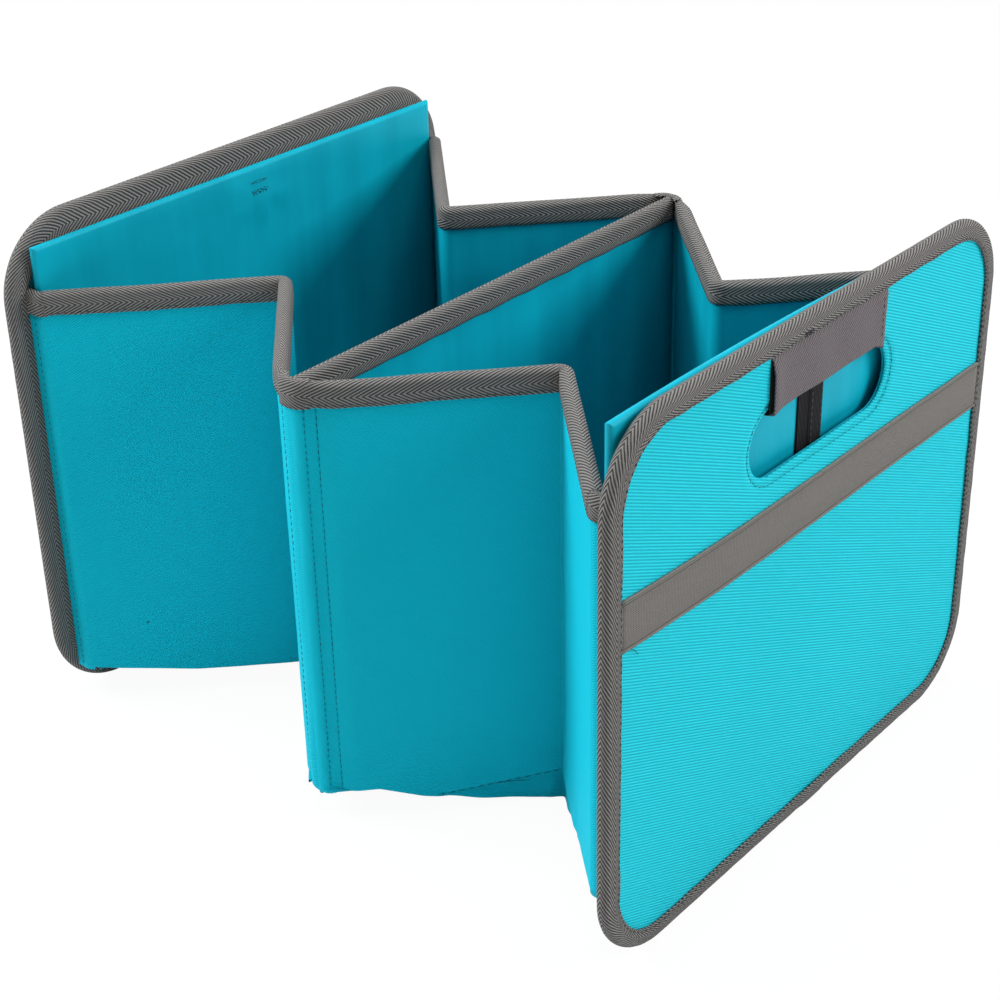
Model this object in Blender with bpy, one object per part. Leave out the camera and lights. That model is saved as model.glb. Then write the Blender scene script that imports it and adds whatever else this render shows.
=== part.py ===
"""Folding storage box of woven cloth, half folded.

Two stiff end panels and a middle divider are joined by side walls that fold inwards like
a concertina. X runs along the box towards the front end, Y across it, Z up, in metres.
The origin is on the ground below the middle of the divider.
"""
from math import asin, cos, pi, radians, sin

import bmesh
import bpy
from mathutils import Matrix, Vector

# End panels
END_WIDTH = 0.320
END_HEIGHT = 0.272
END_CORNER = 0.042

# Sheet goods, seen through their thickness
CLOTH = 0.0008
LINING = 0.0008
BOARD = 0.0024
TAPE = 0.0009
TAPE_EDGE = 0.0018
TAPE_LEG = 0.012
TAPE_FLAT = 0.0012
TAPE_ROUND = 0.0030
FIT = 0.0003

# Side walls and divider
WALL_BOTTOM = 0.012
WALL_BELOW_END = 0.034
LEAF_PITCH = 0.115
HINGE_SET_IN = 0.0037
HINGE_CLEAR = 0.0003
EDGE_TRIM = 0.00025
DIVIDER_NOSE = 0.005
DIVIDER_BOARD_EDGE = 0.004
REST_FOLD = radians(42.8)

# Base plates, which stand against the ends until the box is laid open
PLATE_BOTTOM = 0.016
PLATE_BELOW_TAPE = 0.0005
PLATE_GAP = 0.0030
PLATE_SIDE_GAP = 0.0004
PLATE_EDGE_ROLL = 0.0009
FLANGE_BOTTOM = 0.040

# Handle hole, the webbing round its bar, and the pull strap behind it
HANDLE_Y = 0.0007
HANDLE_BAR = 0.0355
HOLE_WIDTH = 0.1144
HOLE_HEIGHT = 0.033
HOLE_BOARD_SET_BACK = 0.0015
GRIP_WIDTH = 0.0955
GRIP_SHIFT = 0.003
GRIP_BELOW_TAPE = 0.001
WEBBING = 0.0009
STRAP_WIDTH = 0.020
STRAP_LENGTH = 0.082
STRAP_BELOW_PLATE = 0.0095
STRAP_HEM = 0.018

# Elastic band across the outer face
BAND_BELOW_END = 0.0855
BAND_WIDTH = 0.0275
BAND_THICK = 0.0010

# Floor cloth, folded up under each compartment
FLOOR_Z = 0.014
FLOOR_CLOTH = 0.0008
FLOOR_DROP = 0.0006
FLOOR_INSET = 0.003
FLOOR_LIP_GAP = 0.0003

# Smoothness of round work
CORNER_STEPS = 7
STADIUM_STEPS = 10
SMALL_STEPS = 4
LAP_LENGTH = 0.014
LAP_LIFT = 0.0006
LAP_STEP = 0.0002
SLEEVE_ROLL = 0.0012

# Sizes that follow from the ones above
STACK = CLOTH + FIT + BOARD + FIT + LINING
TAPE_HALF = STACK / 2 + FIT + TAPE
TAPE_INNER_HALF = STACK / 2 + FIT
LEAF_THICK = 2 * TAPE_HALF
LEAF_STEP = LEAF_THICK + 2 * HINGE_CLEAR
LEAF_LENGTH = (LEAF_PITCH**2 - LEAF_STEP**2) ** 0.5
LEAF_LEAN = asin(LEAF_STEP / LEAF_PITCH)
LEAF_ANGLE = REST_FOLD + LEAF_LEAN
FLANGE_Y = END_WIDTH / 2 - TAPE_LEG - FIT
HINGE_Y = FLANGE_Y - HINGE_SET_IN
DIVIDER_HINGE_X = TAPE_HALF + HINGE_CLEAR
END_HINGE_X = DIVIDER_HINGE_X + 2 * LEAF_PITCH * cos(REST_FOLD)
PLATE_OUTER_X = -STACK / 2 - PLATE_GAP
PLATE_INNER_X = PLATE_OUTER_X - STACK
END_X = END_HINGE_X + HINGE_CLEAR - PLATE_INNER_X
PLATE_HALF = FLANGE_Y - LINING - PLATE_SIDE_GAP
PLATE_TOP = END_HEIGHT - TAPE_LEG - PLATE_BELOW_TAPE
WALL_TOP = END_HEIGHT - WALL_BELOW_END
SLEEVE_TOP = WALL_TOP - TAPE_EDGE - FIT
HOLE_TOP = END_HEIGHT - HANDLE_BAR
HOLE_BOTTOM = HOLE_TOP - HOLE_HEIGHT
GRIP_TOP = END_HEIGHT - TAPE_LEG - GRIP_BELOW_TAPE
STRAP_TOP = PLATE_TOP - STRAP_BELOW_PLATE
STRAP_BOTTOM = STRAP_TOP - STRAP_LENGTH
BAND_TOP = END_HEIGHT - BAND_BELOW_END
BAND_BOTTOM = BAND_TOP - BAND_WIDTH

# Colours, linear
TURQUOISE = (0.016, 0.50, 0.62)
SATIN = (0.010, 0.40, 0.52)
TAPE_GREY = (0.125, 0.118, 0.110)
ELASTIC_GREY = (0.16, 0.15, 0.14)
GRIP_GREY = (0.14, 0.125, 0.135)
STRAP_BLACK = (0.012, 0.012, 0.014)
BOARD_GREY = (0.22, 0.21, 0.19)

# Where each pivot ends up in the box, by its name
WORLD = {}


def clear_scene():
    for item in list(bpy.data.objects):
        bpy.data.objects.remove(item, do_unlink=True)


def material(name, colour, rough):
    made = bpy.data.materials.new(name)
    made.use_nodes = True
    made.diffuse_color = (*colour, 1.0)
    shader = made.node_tree.nodes["Principled BSDF"]
    shader.inputs["Base Color"].default_value = (*colour, 1.0)
    shader.inputs["Roughness"].default_value = rough
    shader.inputs["Metallic"].default_value = 0.0
    return made


def pivot(name, place, turn=0.0, axis="Z", parent=None):
    """An empty on a joint's axis, turned to the piece's own direction."""
    empty = bpy.data.objects.new(name, None)
    empty.empty_display_size = 0.01
    bpy.context.scene.collection.objects.link(empty)
    frame = Matrix.Translation(place) @ Matrix.Rotation(turn, 4, axis)
    if parent:
        empty.parent = parent
        frame = WORLD[parent.name].inverted() @ frame
    empty.matrix_local = frame
    WORLD[empty.name] = WORLD[parent.name] @ frame if parent else frame
    return empty


def add_piece(name, mesh, finish, parent):
    piece = bpy.data.objects.new(name, mesh)
    bpy.context.scene.collection.objects.link(piece)
    mesh.materials.append(finish)
    piece.parent = parent
    return piece


def prism_mesh(name, outline, low, high, across):
    """An outline drawn in the two other axes, extruded from low to high along one axis."""
    place = {
        "x": lambda t, a, b: (t, a, b),
        "y": lambda t, a, b: (a, t, b),
        "z": lambda t, a, b: (a, b, t),
    }[across]
    work = bmesh.new()
    rings = [[work.verts.new(place(t, a, b)) for a, b in outline] for t in (low, high)]
    bridge_rings(work, rings, False)
    return finished_mesh(name, work)


def slab(name, outline, low, high, across, finish, parent):
    return add_piece(name, prism_mesh(name, outline, low, high, across), finish, parent)


def rectangle(low_a, high_a, low_b, high_b):
    return [(low_a, low_b), (high_a, low_b), (high_a, high_b), (low_a, high_b)]


def arc(centre, radius, start, stop, steps):
    return [
        (
            centre[0] + radius * cos(start + (stop - start) * i / steps),
            centre[1] + radius * sin(start + (stop - start) * i / steps),
        )
        for i in range(steps + 1)
    ]


def end_outline(inset):
    """The end panel's rounded outline, drawn inside its overall edge by the inset."""
    radius = END_CORNER - inset
    side = END_WIDTH / 2 - END_CORNER
    low = END_CORNER
    high = END_HEIGHT - END_CORNER
    corners = ((side, low, -pi / 2), (side, high, 0.0), (-side, high, pi / 2), (-side, low, pi))
    points = []
    for a, b, start in corners:
        points += arc((a, b), radius, start, start + pi / 2, CORNER_STEPS)
    return points


def hole_outline(grow):
    """The handle hole: a stadium, wider by grow all round."""
    radius = HOLE_HEIGHT / 2 + grow
    middle = (HOLE_TOP + HOLE_BOTTOM) / 2
    reach = HOLE_WIDTH / 2 - HOLE_HEIGHT / 2
    right = arc((HANDLE_Y + reach, middle), radius, -pi / 2, pi / 2, STADIUM_STEPS)
    left = arc((HANDLE_Y - reach, middle), radius, pi / 2, 3 * pi / 2, STADIUM_STEPS)
    return right + left


def as_tool(piece):
    piece.hide_render = True
    piece.display_type = "WIRE"
    return piece


def shape_with(piece, tool, operation):
    step = piece.modifiers.new(operation.lower() + "_" + tool.name, "BOOLEAN")
    step.operation = operation
    step.object = as_tool(tool)


def roll_edges(piece, width, segments):
    step = piece.modifiers.new("rolled_edges", "BEVEL")
    step.width = width
    step.segments = segments
    step.limit_method = "ANGLE"
    step.angle_limit = radians(50)


def tape_section(lift=0.0):
    """Section of a tape folded over an edge, as (across the panel, in from the edge).

    The flat on its crown is what the panel stands on. Lift thickens only the two legs.
    """
    half = TAPE_HALF + lift
    turn = [i * pi / 2 / SMALL_STEPS for i in range(SMALL_STEPS + 1)]
    crown = [
        (TAPE_FLAT + (half - TAPE_FLAT) * cos(a), TAPE_ROUND * (1 - sin(a))) for a in turn
    ]
    outer = [(half, TAPE_LEG)] + crown + [(-t, w) for t, w in reversed(crown)] + [(-half, TAPE_LEG)]
    inner = [
        (-TAPE_INNER_HALF, TAPE_LEG),
        (-TAPE_INNER_HALF, TAPE_EDGE),
        (TAPE_INNER_HALF, TAPE_EDGE),
        (TAPE_INNER_HALF, TAPE_LEG),
    ]
    return outer + inner


def bridge_rings(work, rings, closed):
    """Faces between neighbouring rings, which close on themselves or are capped."""
    follow = rings[1:] + (rings[:1] if closed else [])
    for first, second in zip(rings, follow):
        count = len(first)
        for i in range(count):
            j = (i + 1) % count
            work.faces.new((first[i], first[j], second[j], second[i]))
    if not closed:
        work.faces.new(rings[0])
        work.faces.new(rings[-1])


def finished_mesh(name, work):
    bmesh.ops.recalc_face_normals(work, faces=work.faces)
    mesh = bpy.data.meshes.new(name)
    work.to_mesh(mesh)
    work.free()
    return mesh


def end_binding(name, finish, parent):
    """The tape bound round an end panel, one closed run whose ends lap at the bottom."""
    side = END_WIDTH / 2 - END_CORNER
    low = END_CORNER
    high = END_HEIGHT - END_CORNER
    stations = [((0.0, 0.0), -pi / 2, 0.0), ((LAP_STEP, 0.0), -pi / 2, LAP_LIFT)]
    stations += [((LAP_LENGTH, 0.0), -pi / 2, LAP_LIFT), ((2 * LAP_LENGTH, 0.0), -pi / 2, 0.0)]
    corners = ((side, low, -pi / 2), (side, high, 0.0), (-side, high, pi / 2), (-side, low, pi))
    for a, b, start in corners:
        for i in range(CORNER_STEPS + 1):
            turn = start + pi / 2 * i / CORNER_STEPS
            place = (a + END_CORNER * cos(turn), b + END_CORNER * sin(turn))
            stations.append((place, turn, 0.0))
    work = bmesh.new()
    rings = []
    for (a, b), turn, lift in stations:
        ring = [
            work.verts.new((t, a - w * cos(turn), b - w * sin(turn)))
            for t, w in tape_section(lift)
        ]
        rings.append(ring)
    bridge_rings(work, rings, True)
    return add_piece(name, finished_mesh(name, work), finish, parent)


def top_binding(name, low_x, high_x, middle_y, top, finish, parent):
    """The tape folded over the top of a wall, its section extruded along the wall."""
    work = bmesh.new()
    rings = [
        [work.verts.new((x, middle_y + t, top - w)) for t, w in tape_section()]
        for x in (low_x, high_x)
    ]
    bridge_rings(work, rings, False)
    return add_piece(name, finished_mesh(name, work), finish, parent)


def inset_outline(outline, inset, open_top):
    """A convex outline moved in by the inset, with its top carried past when it is open."""
    count = len(outline)
    moved = []
    for i in range(count):
        before, here, after = outline[i - 1], outline[i], outline[(i + 1) % count]
        first = Vector((here[0] - before[0], here[1] - before[1])).normalized()
        second = Vector((after[0] - here[0], after[1] - here[1])).normalized()
        normal_a = Vector((-first.y, first.x))
        normal_b = Vector((-second.y, second.x))
        mean = (normal_a + normal_b) / (1 + normal_a.dot(normal_b))
        moved.append((here[0] + inset * mean.x, here[1] + inset * mean.y))
    if open_top:
        top = max(b for a, b in outline)
        limit = top - 2 * inset
        moved = [(a, top + open_top if b > limit else b) for a, b in moved]
    return moved


def sleeve(name, outline, middle, across, finish, parent):
    """A cloth sleeve, open along its top, round a board of the same outline."""
    cover = slab(name, outline, middle - STACK / 2, middle + STACK / 2, across, finish, parent)
    roll_edges(cover, SLEEVE_ROLL, 2)
    half = BOARD / 2 + FIT
    pocket = inset_outline(outline, CLOTH, LEAF_THICK)
    tool = slab(name + "_pocket", pocket, middle - half, middle + half, across, finish, parent)
    shape_with(cover, tool, "DIFFERENCE")
    return cover


def wall_leaf(name, hinge, heading, inner, parent):
    """One stiffened half of a side wall, hinged on its inner face at its first edge."""
    frame = pivot(name + "_pivot", hinge, heading, "Z", parent)
    middle = -inner * (HINGE_CLEAR + TAPE_HALF)
    high_x = LEAF_LENGTH - EDGE_TRIM
    outline = rectangle(EDGE_TRIM, high_x, WALL_BOTTOM, SLEEVE_TOP)
    sleeve(name + "_cover", outline, middle, "y", FINISH["cloth"], frame)
    board = inset_outline(outline, CLOTH + FIT, 0.0)
    slab(name + "_board", board, middle - BOARD / 2, middle + BOARD / 2, "y", FINISH["board"], frame)
    top_binding(name + "_binding", EDGE_TRIM, high_x, middle, WALL_TOP, FINISH["tape"], frame)
    return frame


def divider():
    frame = pivot("divider_pivot", (0.0, 0.0, 0.0))
    half = HINGE_Y + DIVIDER_NOSE
    outline = rectangle(-half, half, WALL_BOTTOM, SLEEVE_TOP)
    sleeve("divider_cover", outline, 0.0, "x", FINISH["satin"], frame)
    edge = half - DIVIDER_BOARD_EDGE
    low = WALL_BOTTOM + CLOTH + FIT
    board = rectangle(-edge, edge, low, SLEEVE_TOP - CLOTH)
    slab("divider_board", board, -BOARD / 2, BOARD / 2, "x", FINISH["board"], frame)
    across = pivot("divider_binding_pivot", (0.0, 0.0, 0.0), pi / 2, "Z", frame)
    top_binding("divider_binding", -half, half, 0.0, WALL_TOP, FINISH["tape"], across)
    return frame


def floor_half(name, hinge, side, start, parent):
    """Half of a compartment's floor cloth, with the lip that turns down at its ridge.

    It hinges at the bottom of the divider or of a base plate, and its sides run at 45
    degrees, where the corner gussets start. It lies just below its hinge line, so that the
    folded wall leaf beside it has room.
    """
    turn = -side * LEAF_ANGLE
    frame = pivot(name + "_pivot", hinge, turn, "Y", parent)
    ridge = LEAF_LENGTH - FLOOR_LIP_GAP
    wide = HINGE_Y - FLOOR_INSET
    narrow = HINGE_Y - ridge - FLOOR_INSET
    outline = [
        (side * start, -wide),
        (side * FLOOR_CLOTH, -wide),
        (side * ridge, -narrow),
        (side * ridge, narrow),
        (side * FLOOR_CLOTH, wide),
        (side * start, wide),
    ]
    top = FLOOR_CLOTH / 2 - FLOOR_DROP
    cloth = slab(name, outline, top - FLOOR_CLOTH, top, "z", FINISH["satin"], frame)
    near, far = sorted((side * (ridge - FLOOR_CLOTH), side * ridge))
    lip = rectangle(-narrow, narrow, -LEAF_STEP + FLOOR_LIP_GAP, top - FLOOR_CLOTH / 2)
    tool = slab(name + "_lip", lip, near, far, "x", FINISH["satin"], frame)
    shape_with(cloth, tool, "UNION")
    return frame


def end_panel(name, parent, turn):
    """One end: its panel, tape, band, handle, and the base plate that stands inside it."""
    frame = pivot(name + "_frame", (END_X * cos(turn), 0.0, 0.0), turn, "Z", parent)
    sheet = end_outline(TAPE_EDGE + FIT)
    outer = STACK / 2
    hole_reach = (-STACK, STACK)

    cloth = slab(name + "_outer_cloth", sheet, outer - CLOTH, outer, "x", FINISH["cloth"], frame)
    hole = slab(name + "_hole", hole_outline(0.0), *hole_reach, "x", FINISH["cloth"], frame)
    shape_with(cloth, hole, "DIFFERENCE")

    board = slab(name + "_board", sheet, -BOARD / 2, BOARD / 2, "x", FINISH["board"], frame)
    wide = hole_outline(HOLE_BOARD_SET_BACK)
    wide_hole = slab(name + "_board_hole", wide, *hole_reach, "x", FINISH["board"], frame)
    shape_with(board, wide_hole, "DIFFERENCE")

    lining = slab(name + "_lining", sheet, -outer, LINING - outer, "x", FINISH["satin"], frame)
    shape_with(lining, hole, "DIFFERENCE")
    flange_high = SLEEVE_TOP - TAPE_LEG
    for word, side in (("left", -1), ("right", 1)):
        edge = sorted((side * FLANGE_Y, side * (FLANGE_Y - LINING)))
        strip = rectangle(*edge, FLANGE_BOTTOM, flange_high)
        root_x = LINING / 2 - outer
        flange = slab(
            f"{name}_flange_{word}", strip, PLATE_INNER_X, root_x, "x", FINISH["satin"], frame
        )
        shape_with(lining, flange, "UNION")

    end_binding(name + "_binding", FINISH["tape"], frame)

    band = rectangle(-FLANGE_Y, FLANGE_Y, BAND_BOTTOM, BAND_TOP)
    band_x = outer + FIT
    slab(name + "_elastic_band", band, band_x, band_x + BAND_THICK, "x", FINISH["elastic"], frame)

    grip(name + "_grip", frame)
    base_plate(name, frame)
    pull_strap(name + "_pull_strap", frame)
    return frame


def hole_edge_above(y):
    """Height of the hole's upper edge at y, level in the middle and round at its ends."""
    radius = HOLE_HEIGHT / 2
    past = max(abs(y - HANDLE_Y) - (HOLE_WIDTH / 2 - radius), 0.0)
    return (HOLE_TOP + HOLE_BOTTOM) / 2 + (radius**2 - past**2) ** 0.5


def grip(name, frame):
    """Webbing folded round the bar above the hole, down the outside and up the inside.

    Its section is a U, lofted across the bar, whose bend follows the hole's upper edge.
    """
    half = STACK / 2 + FIT
    flat = HOLE_WIDTH / 2 - HOLE_HEIGHT / 2
    low = GRIP_SHIFT - GRIP_WIDTH / 2
    high = GRIP_SHIFT + GRIP_WIDTH / 2
    shares = [i / SMALL_STEPS for i in range(SMALL_STEPS + 1)]
    offsets = [low + (-flat - low) * t for t in shares]
    offsets += [flat + (high - flat) * t for t in shares]
    turns = [pi + pi * i / (2 * SMALL_STEPS) for i in range(2 * SMALL_STEPS + 1)]
    rings = []
    work = bmesh.new()
    for offset in offsets:
        y = HANDLE_Y + offset
        bend = hole_edge_above(y) - FIT
        inside = [(half * cos(a), bend + WEBBING * sin(a)) for a in turns]
        outside = [((half + WEBBING) * cos(a), bend + 2 * WEBBING * sin(a)) for a in turns]
        section = [(-half, GRIP_TOP)] + inside + [(half, GRIP_TOP), (half + WEBBING, GRIP_TOP)]
        section += outside[::-1] + [(-half - WEBBING, GRIP_TOP)]
        rings.append([work.verts.new((x, y, z)) for x, z in section])
    bridge_rings(work, rings, False)
    return add_piece(name, finished_mesh(name, work), FINISH["grip"], frame)


def base_plate(name, frame):
    """The satin-covered board that folds down on the floor once the box is laid open."""
    middle = (PLATE_OUTER_X + PLATE_INNER_X) / 2
    outline = rectangle(-PLATE_HALF, PLATE_HALF, PLATE_BOTTOM, PLATE_TOP)
    cover = slab(
        name + "_base_plate_cover", outline, PLATE_INNER_X, PLATE_OUTER_X, "x",
        FINISH["satin"], frame,
    )
    roll_edges(cover, PLATE_EDGE_ROLL, 2)
    half = BOARD / 2 + FIT
    inside = PLATE_HALF - CLOTH
    pocket = rectangle(-inside, inside, PLATE_BOTTOM - STACK, PLATE_TOP - CLOTH)
    tool = slab(
        name + "_base_plate_pocket", pocket, middle - half, middle + half, "x",
        FINISH["satin"], frame,
    )
    shape_with(cover, tool, "DIFFERENCE")
    inside -= FIT
    board = rectangle(-inside, inside, PLATE_BOTTOM + CLOTH, PLATE_TOP - CLOTH - FIT)
    slab(
        name + "_base_plate_board", board, middle - BOARD / 2, middle + BOARD / 2, "x",
        FINISH["board"], frame,
    )


def pull_strap(name, frame):
    """The strap on the base plate's hidden side, seen through the handle hole."""
    back = PLATE_OUTER_X + FIT
    front = back + WEBBING
    hem = front + WEBBING
    outline = [
        (back, STRAP_BOTTOM),
        (hem, STRAP_BOTTOM),
        (hem, STRAP_BOTTOM + STRAP_HEM),
        (front, STRAP_BOTTOM + STRAP_HEM),
        (front, STRAP_TOP),
        (back, STRAP_TOP),
    ]
    low_y = HANDLE_Y - STRAP_WIDTH / 2
    return slab(name, outline, low_y, low_y + STRAP_WIDTH, "y", FINISH["strap"], frame)


def compartment(name, side, root):
    """Two side walls, a floor and an end, on the front (side 1) or rear (side -1)."""
    fold_x = (DIVIDER_HINGE_X + END_HINGE_X) / 2
    for word, hand in (("left", -1), ("right", 1)):
        inner = -side * hand
        heading = -hand * LEAF_ANGLE if side > 0 else pi + hand * LEAF_ANGLE
        middle_hinge = (side * DIVIDER_HINGE_X, hand * HINGE_Y, 0.0)
        end_hinge = (side * END_HINGE_X, hand * HINGE_Y, 0.0)
        fold_y = hand * (HINGE_Y - LEAF_PITCH * sin(REST_FOLD))
        wall_leaf(f"{name}_{word}_mid_leaf", middle_hinge, heading, inner, root)
        fold = pivot(f"{name}_{word}_fold_pivot", (side * fold_x, fold_y, 0.0), 0.0, "Z", root)
        back = pi - heading
        wall_leaf(f"{name}_{word}_end_leaf", end_hinge, back, -inner, fold)

    end_pivot = pivot(name + "_end_pivot", (side * END_HINGE_X, -HINGE_Y, 0.0), 0.0, "Z", root)
    end_panel(name + "_end", end_pivot, 0.0 if side > 0 else pi)

    middle_hinge = (side * DIVIDER_HINGE_X, 0.0, FLOOR_Z)
    floor_half(name + "_floor_mid", middle_hinge, side, -TAPE - FIT, root)
    end_hinge = (side * END_HINGE_X, 0.0, FLOOR_Z)
    floor_half(name + "_floor_end", end_hinge, -side, FIT, root)


clear_scene()
FINISH = {
    "cloth": material("woven_cloth", TURQUOISE, 0.75),
    "satin": material("satin_lining", SATIN, 0.45),
    "tape": material("herringbone_tape", TAPE_GREY, 0.85),
    "elastic": material("ribbed_elastic", ELASTIC_GREY, 0.85),
    "grip": material("grip_webbing", GRIP_GREY, 0.85),
    "strap": material("black_strap", STRAP_BLACK, 0.7),
    "board": material("grey_board", BOARD_GREY, 0.9),
}
box = divider()
compartment("front", 1, box)
compartment("rear", -1, box)
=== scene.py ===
"""Cloth, bound edges, stitching and light for the folding storage box.

X runs along the box to its front end, Y across it, Z up, in metres. Every piece is a
surface worked out over two parameters, placed where the frame's own parts are.
"""
import math

import bpy
import numpy as np
from mathutils import Matrix, Vector


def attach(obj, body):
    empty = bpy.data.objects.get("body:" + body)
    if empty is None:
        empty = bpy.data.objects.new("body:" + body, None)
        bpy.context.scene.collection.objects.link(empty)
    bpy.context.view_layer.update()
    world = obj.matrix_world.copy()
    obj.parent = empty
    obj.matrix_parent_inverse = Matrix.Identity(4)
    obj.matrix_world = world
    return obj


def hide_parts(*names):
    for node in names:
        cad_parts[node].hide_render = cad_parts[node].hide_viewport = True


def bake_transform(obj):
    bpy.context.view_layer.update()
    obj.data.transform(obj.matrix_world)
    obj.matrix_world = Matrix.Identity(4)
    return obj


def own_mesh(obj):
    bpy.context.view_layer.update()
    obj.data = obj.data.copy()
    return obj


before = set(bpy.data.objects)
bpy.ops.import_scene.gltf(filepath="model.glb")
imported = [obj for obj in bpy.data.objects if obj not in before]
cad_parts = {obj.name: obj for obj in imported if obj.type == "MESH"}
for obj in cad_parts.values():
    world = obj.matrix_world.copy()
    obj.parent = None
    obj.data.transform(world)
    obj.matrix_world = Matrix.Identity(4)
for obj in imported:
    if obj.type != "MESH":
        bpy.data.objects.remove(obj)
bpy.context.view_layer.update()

# Where the frame has its hinges and sheets
REST_FOLD = math.radians(42.8)
LEAF_PITCH = 0.115
LEAF_STEP = 0.0076
LEAF_LENGTH = math.sqrt(LEAF_PITCH**2 - LEAF_STEP**2)
FOLD = REST_FOLD + math.asin(LEAF_STEP / LEAF_PITCH)
HINGE_Y = 0.144
DIVIDER_HINGE = 0.0038
END_HINGE = DIVIDER_HINGE + 2 * LEAF_PITCH * math.cos(REST_FOLD)
END_X = END_HINGE + 0.0102
WALL_BOTTOM = 0.012
WALL_TOP = 0.238
FLOOR_Z = 0.014

# How deep each layer of a wall lies, from the plane of its outer hinge
OUTER_SKIN = 0.0015
MIDDLE = 0.0038
INNER_SKIN = 0.0061
TAPE_HALF = 0.0035
TAPE_THICK = 0.0009
TAPE_LEG = 0.012
TAPE_CROWN = 0.0030
FOLD_ARC = 0.009
CORNER_ARC = 0.0061
WALL_RUN = 2 * LEAF_LENGTH + FOLD_ARC
RIDGE_X = (DIVIDER_HINGE + END_HINGE) / 2
RIDGE_STRIP = (RIDGE_X - 0.0055, RIDGE_X + 0.0055)
CLOTH_TOP = WALL_TOP - 0.0024
TAPED_DOWN_TO = WALL_TOP - 0.014
SEAM_CALM = 0.02
CREASE_LIP = 0.0012
STITCH_ROW = WALL_TOP - 0.0105
FOLD_STEPS = 9
RIDGE_RADIUS = 0.0074
RIDGE_ARC = 0.012
REAR_STEP_TOP = 0.010836175757876
END_CORNER_TURN = math.radians(52)

# How thick the sheets are
THIN = 0.0005
CORNER_THICK = 0.0006
CLOTH_THICK = 0.0007
WEB_THICK = 0.0008
STRAP_THICK = 0.0004

# End panels
END_WIDTH = 0.320
END_HEIGHT = 0.272
END_CORNER = 0.042
TAPE_EDGE = 0.0018
SHEET_HALF = 0.0023
HANDLE_Y = 0.0007
HOLE_WIDTH = 0.1144
HOLE_HEIGHT = 0.033
HOLE_TOP = 0.2365
GRIP_LEFT = HANDLE_Y - 0.04475
GRIP_RIGHT = HANDLE_Y + 0.05075
GRIP_TOP = 0.2592
END_OUTER_LEG = 0.0097
BAND_BOTTOM = 0.1643
BAND_TOP = 0.1889
PLATE_HALF = 0.1465
PLATE_BOTTOM = 0.016
PLATE_TOP = 0.2595
PLATE_MIDDLE = -0.0076
STRAP_BOTTOM = 0.168
STRAP_TOP = 0.250
PLATE_SLIP = 0.0098
SLIP_PEAK = -0.083
TACK_ACROSS = -0.0055
TUCK_ROWS = (0.0004, 0.0060)
NOSE_Y = 0.1482
DIVIDER_HALF = NOSE_Y - 0.0012


# Surfaces

def wave_noise(a, b, seed, size, count=7):
    """Smooth seeded relief from -1 to 1: a sum of sine waves of random heading and phase."""
    rng = np.random.default_rng(seed)
    total = np.zeros(np.broadcast(a, b).shape)
    for _ in range(count):
        heading, phase = rng.uniform(0, 2 * np.pi, 2)
        pitch = size * rng.uniform(0.6, 1.7)
        total += np.sin((a * np.cos(heading) + b * np.sin(heading)) * 2 * np.pi / pitch + phase)
    return total / count * 1.6


def ridge(offset, width):
    """A soft bump: one at offset nought, and falling off as a bell of that width."""
    return np.exp(-((offset / width) ** 2))


def quarter_circle(share):
    """Height of a quarter circle, from nought to one as share goes from nought to one."""
    return np.sqrt(np.clip(1 - np.clip(1 - share, 0, 1) ** 2, 0, 1))


def distances(line):
    """How far along a line each of its points lies."""
    return np.concatenate([[0.0], np.cumsum(np.linalg.norm(np.diff(line, axis=0), axis=1))])


def grid_of(*values):
    """These coordinates spread over one grid, and stacked as its last axis."""
    return np.stack(np.broadcast_arrays(*values), -1)


def at_heights(plan, z):
    """The points of a plan, in X and Y, at heights z."""
    return np.concatenate([plan, np.broadcast_to(z, plan.shape[:-1])[..., None]], -1)


def add_object(name, data):
    """An object of this mesh, lamp or camera, in the scene."""
    item = bpy.data.objects.new(name, data)
    bpy.context.scene.collection.objects.link(item)
    return item


def smooth_piece(name, points, faces, finish):
    """A smooth mesh with one finish, as an object in the scene."""
    mesh = bpy.data.meshes.new(name)
    mesh.from_pydata(points.tolist(), [], faces)
    mesh.polygons.foreach_set("use_smooth", np.ones(len(faces), bool))
    mesh.materials.append(finish)
    mesh.update()
    return add_object(name, mesh)


def grid_faces(rows, columns, wrap_rows, wrap_columns):
    """Quads between neighbouring rows and columns of a grid, as corner row and column numbers."""
    r = np.arange(rows if wrap_rows else rows - 1)
    c = np.arange(columns if wrap_columns else columns - 1)
    r, c = np.meshgrid(r, c, indexing="ij")
    row = np.stack([r, r, r + 1, r + 1], -1).reshape(-1, 4)
    return row, np.stack([c, c + 1, c + 1, c], -1).reshape(-1, 4)


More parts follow.
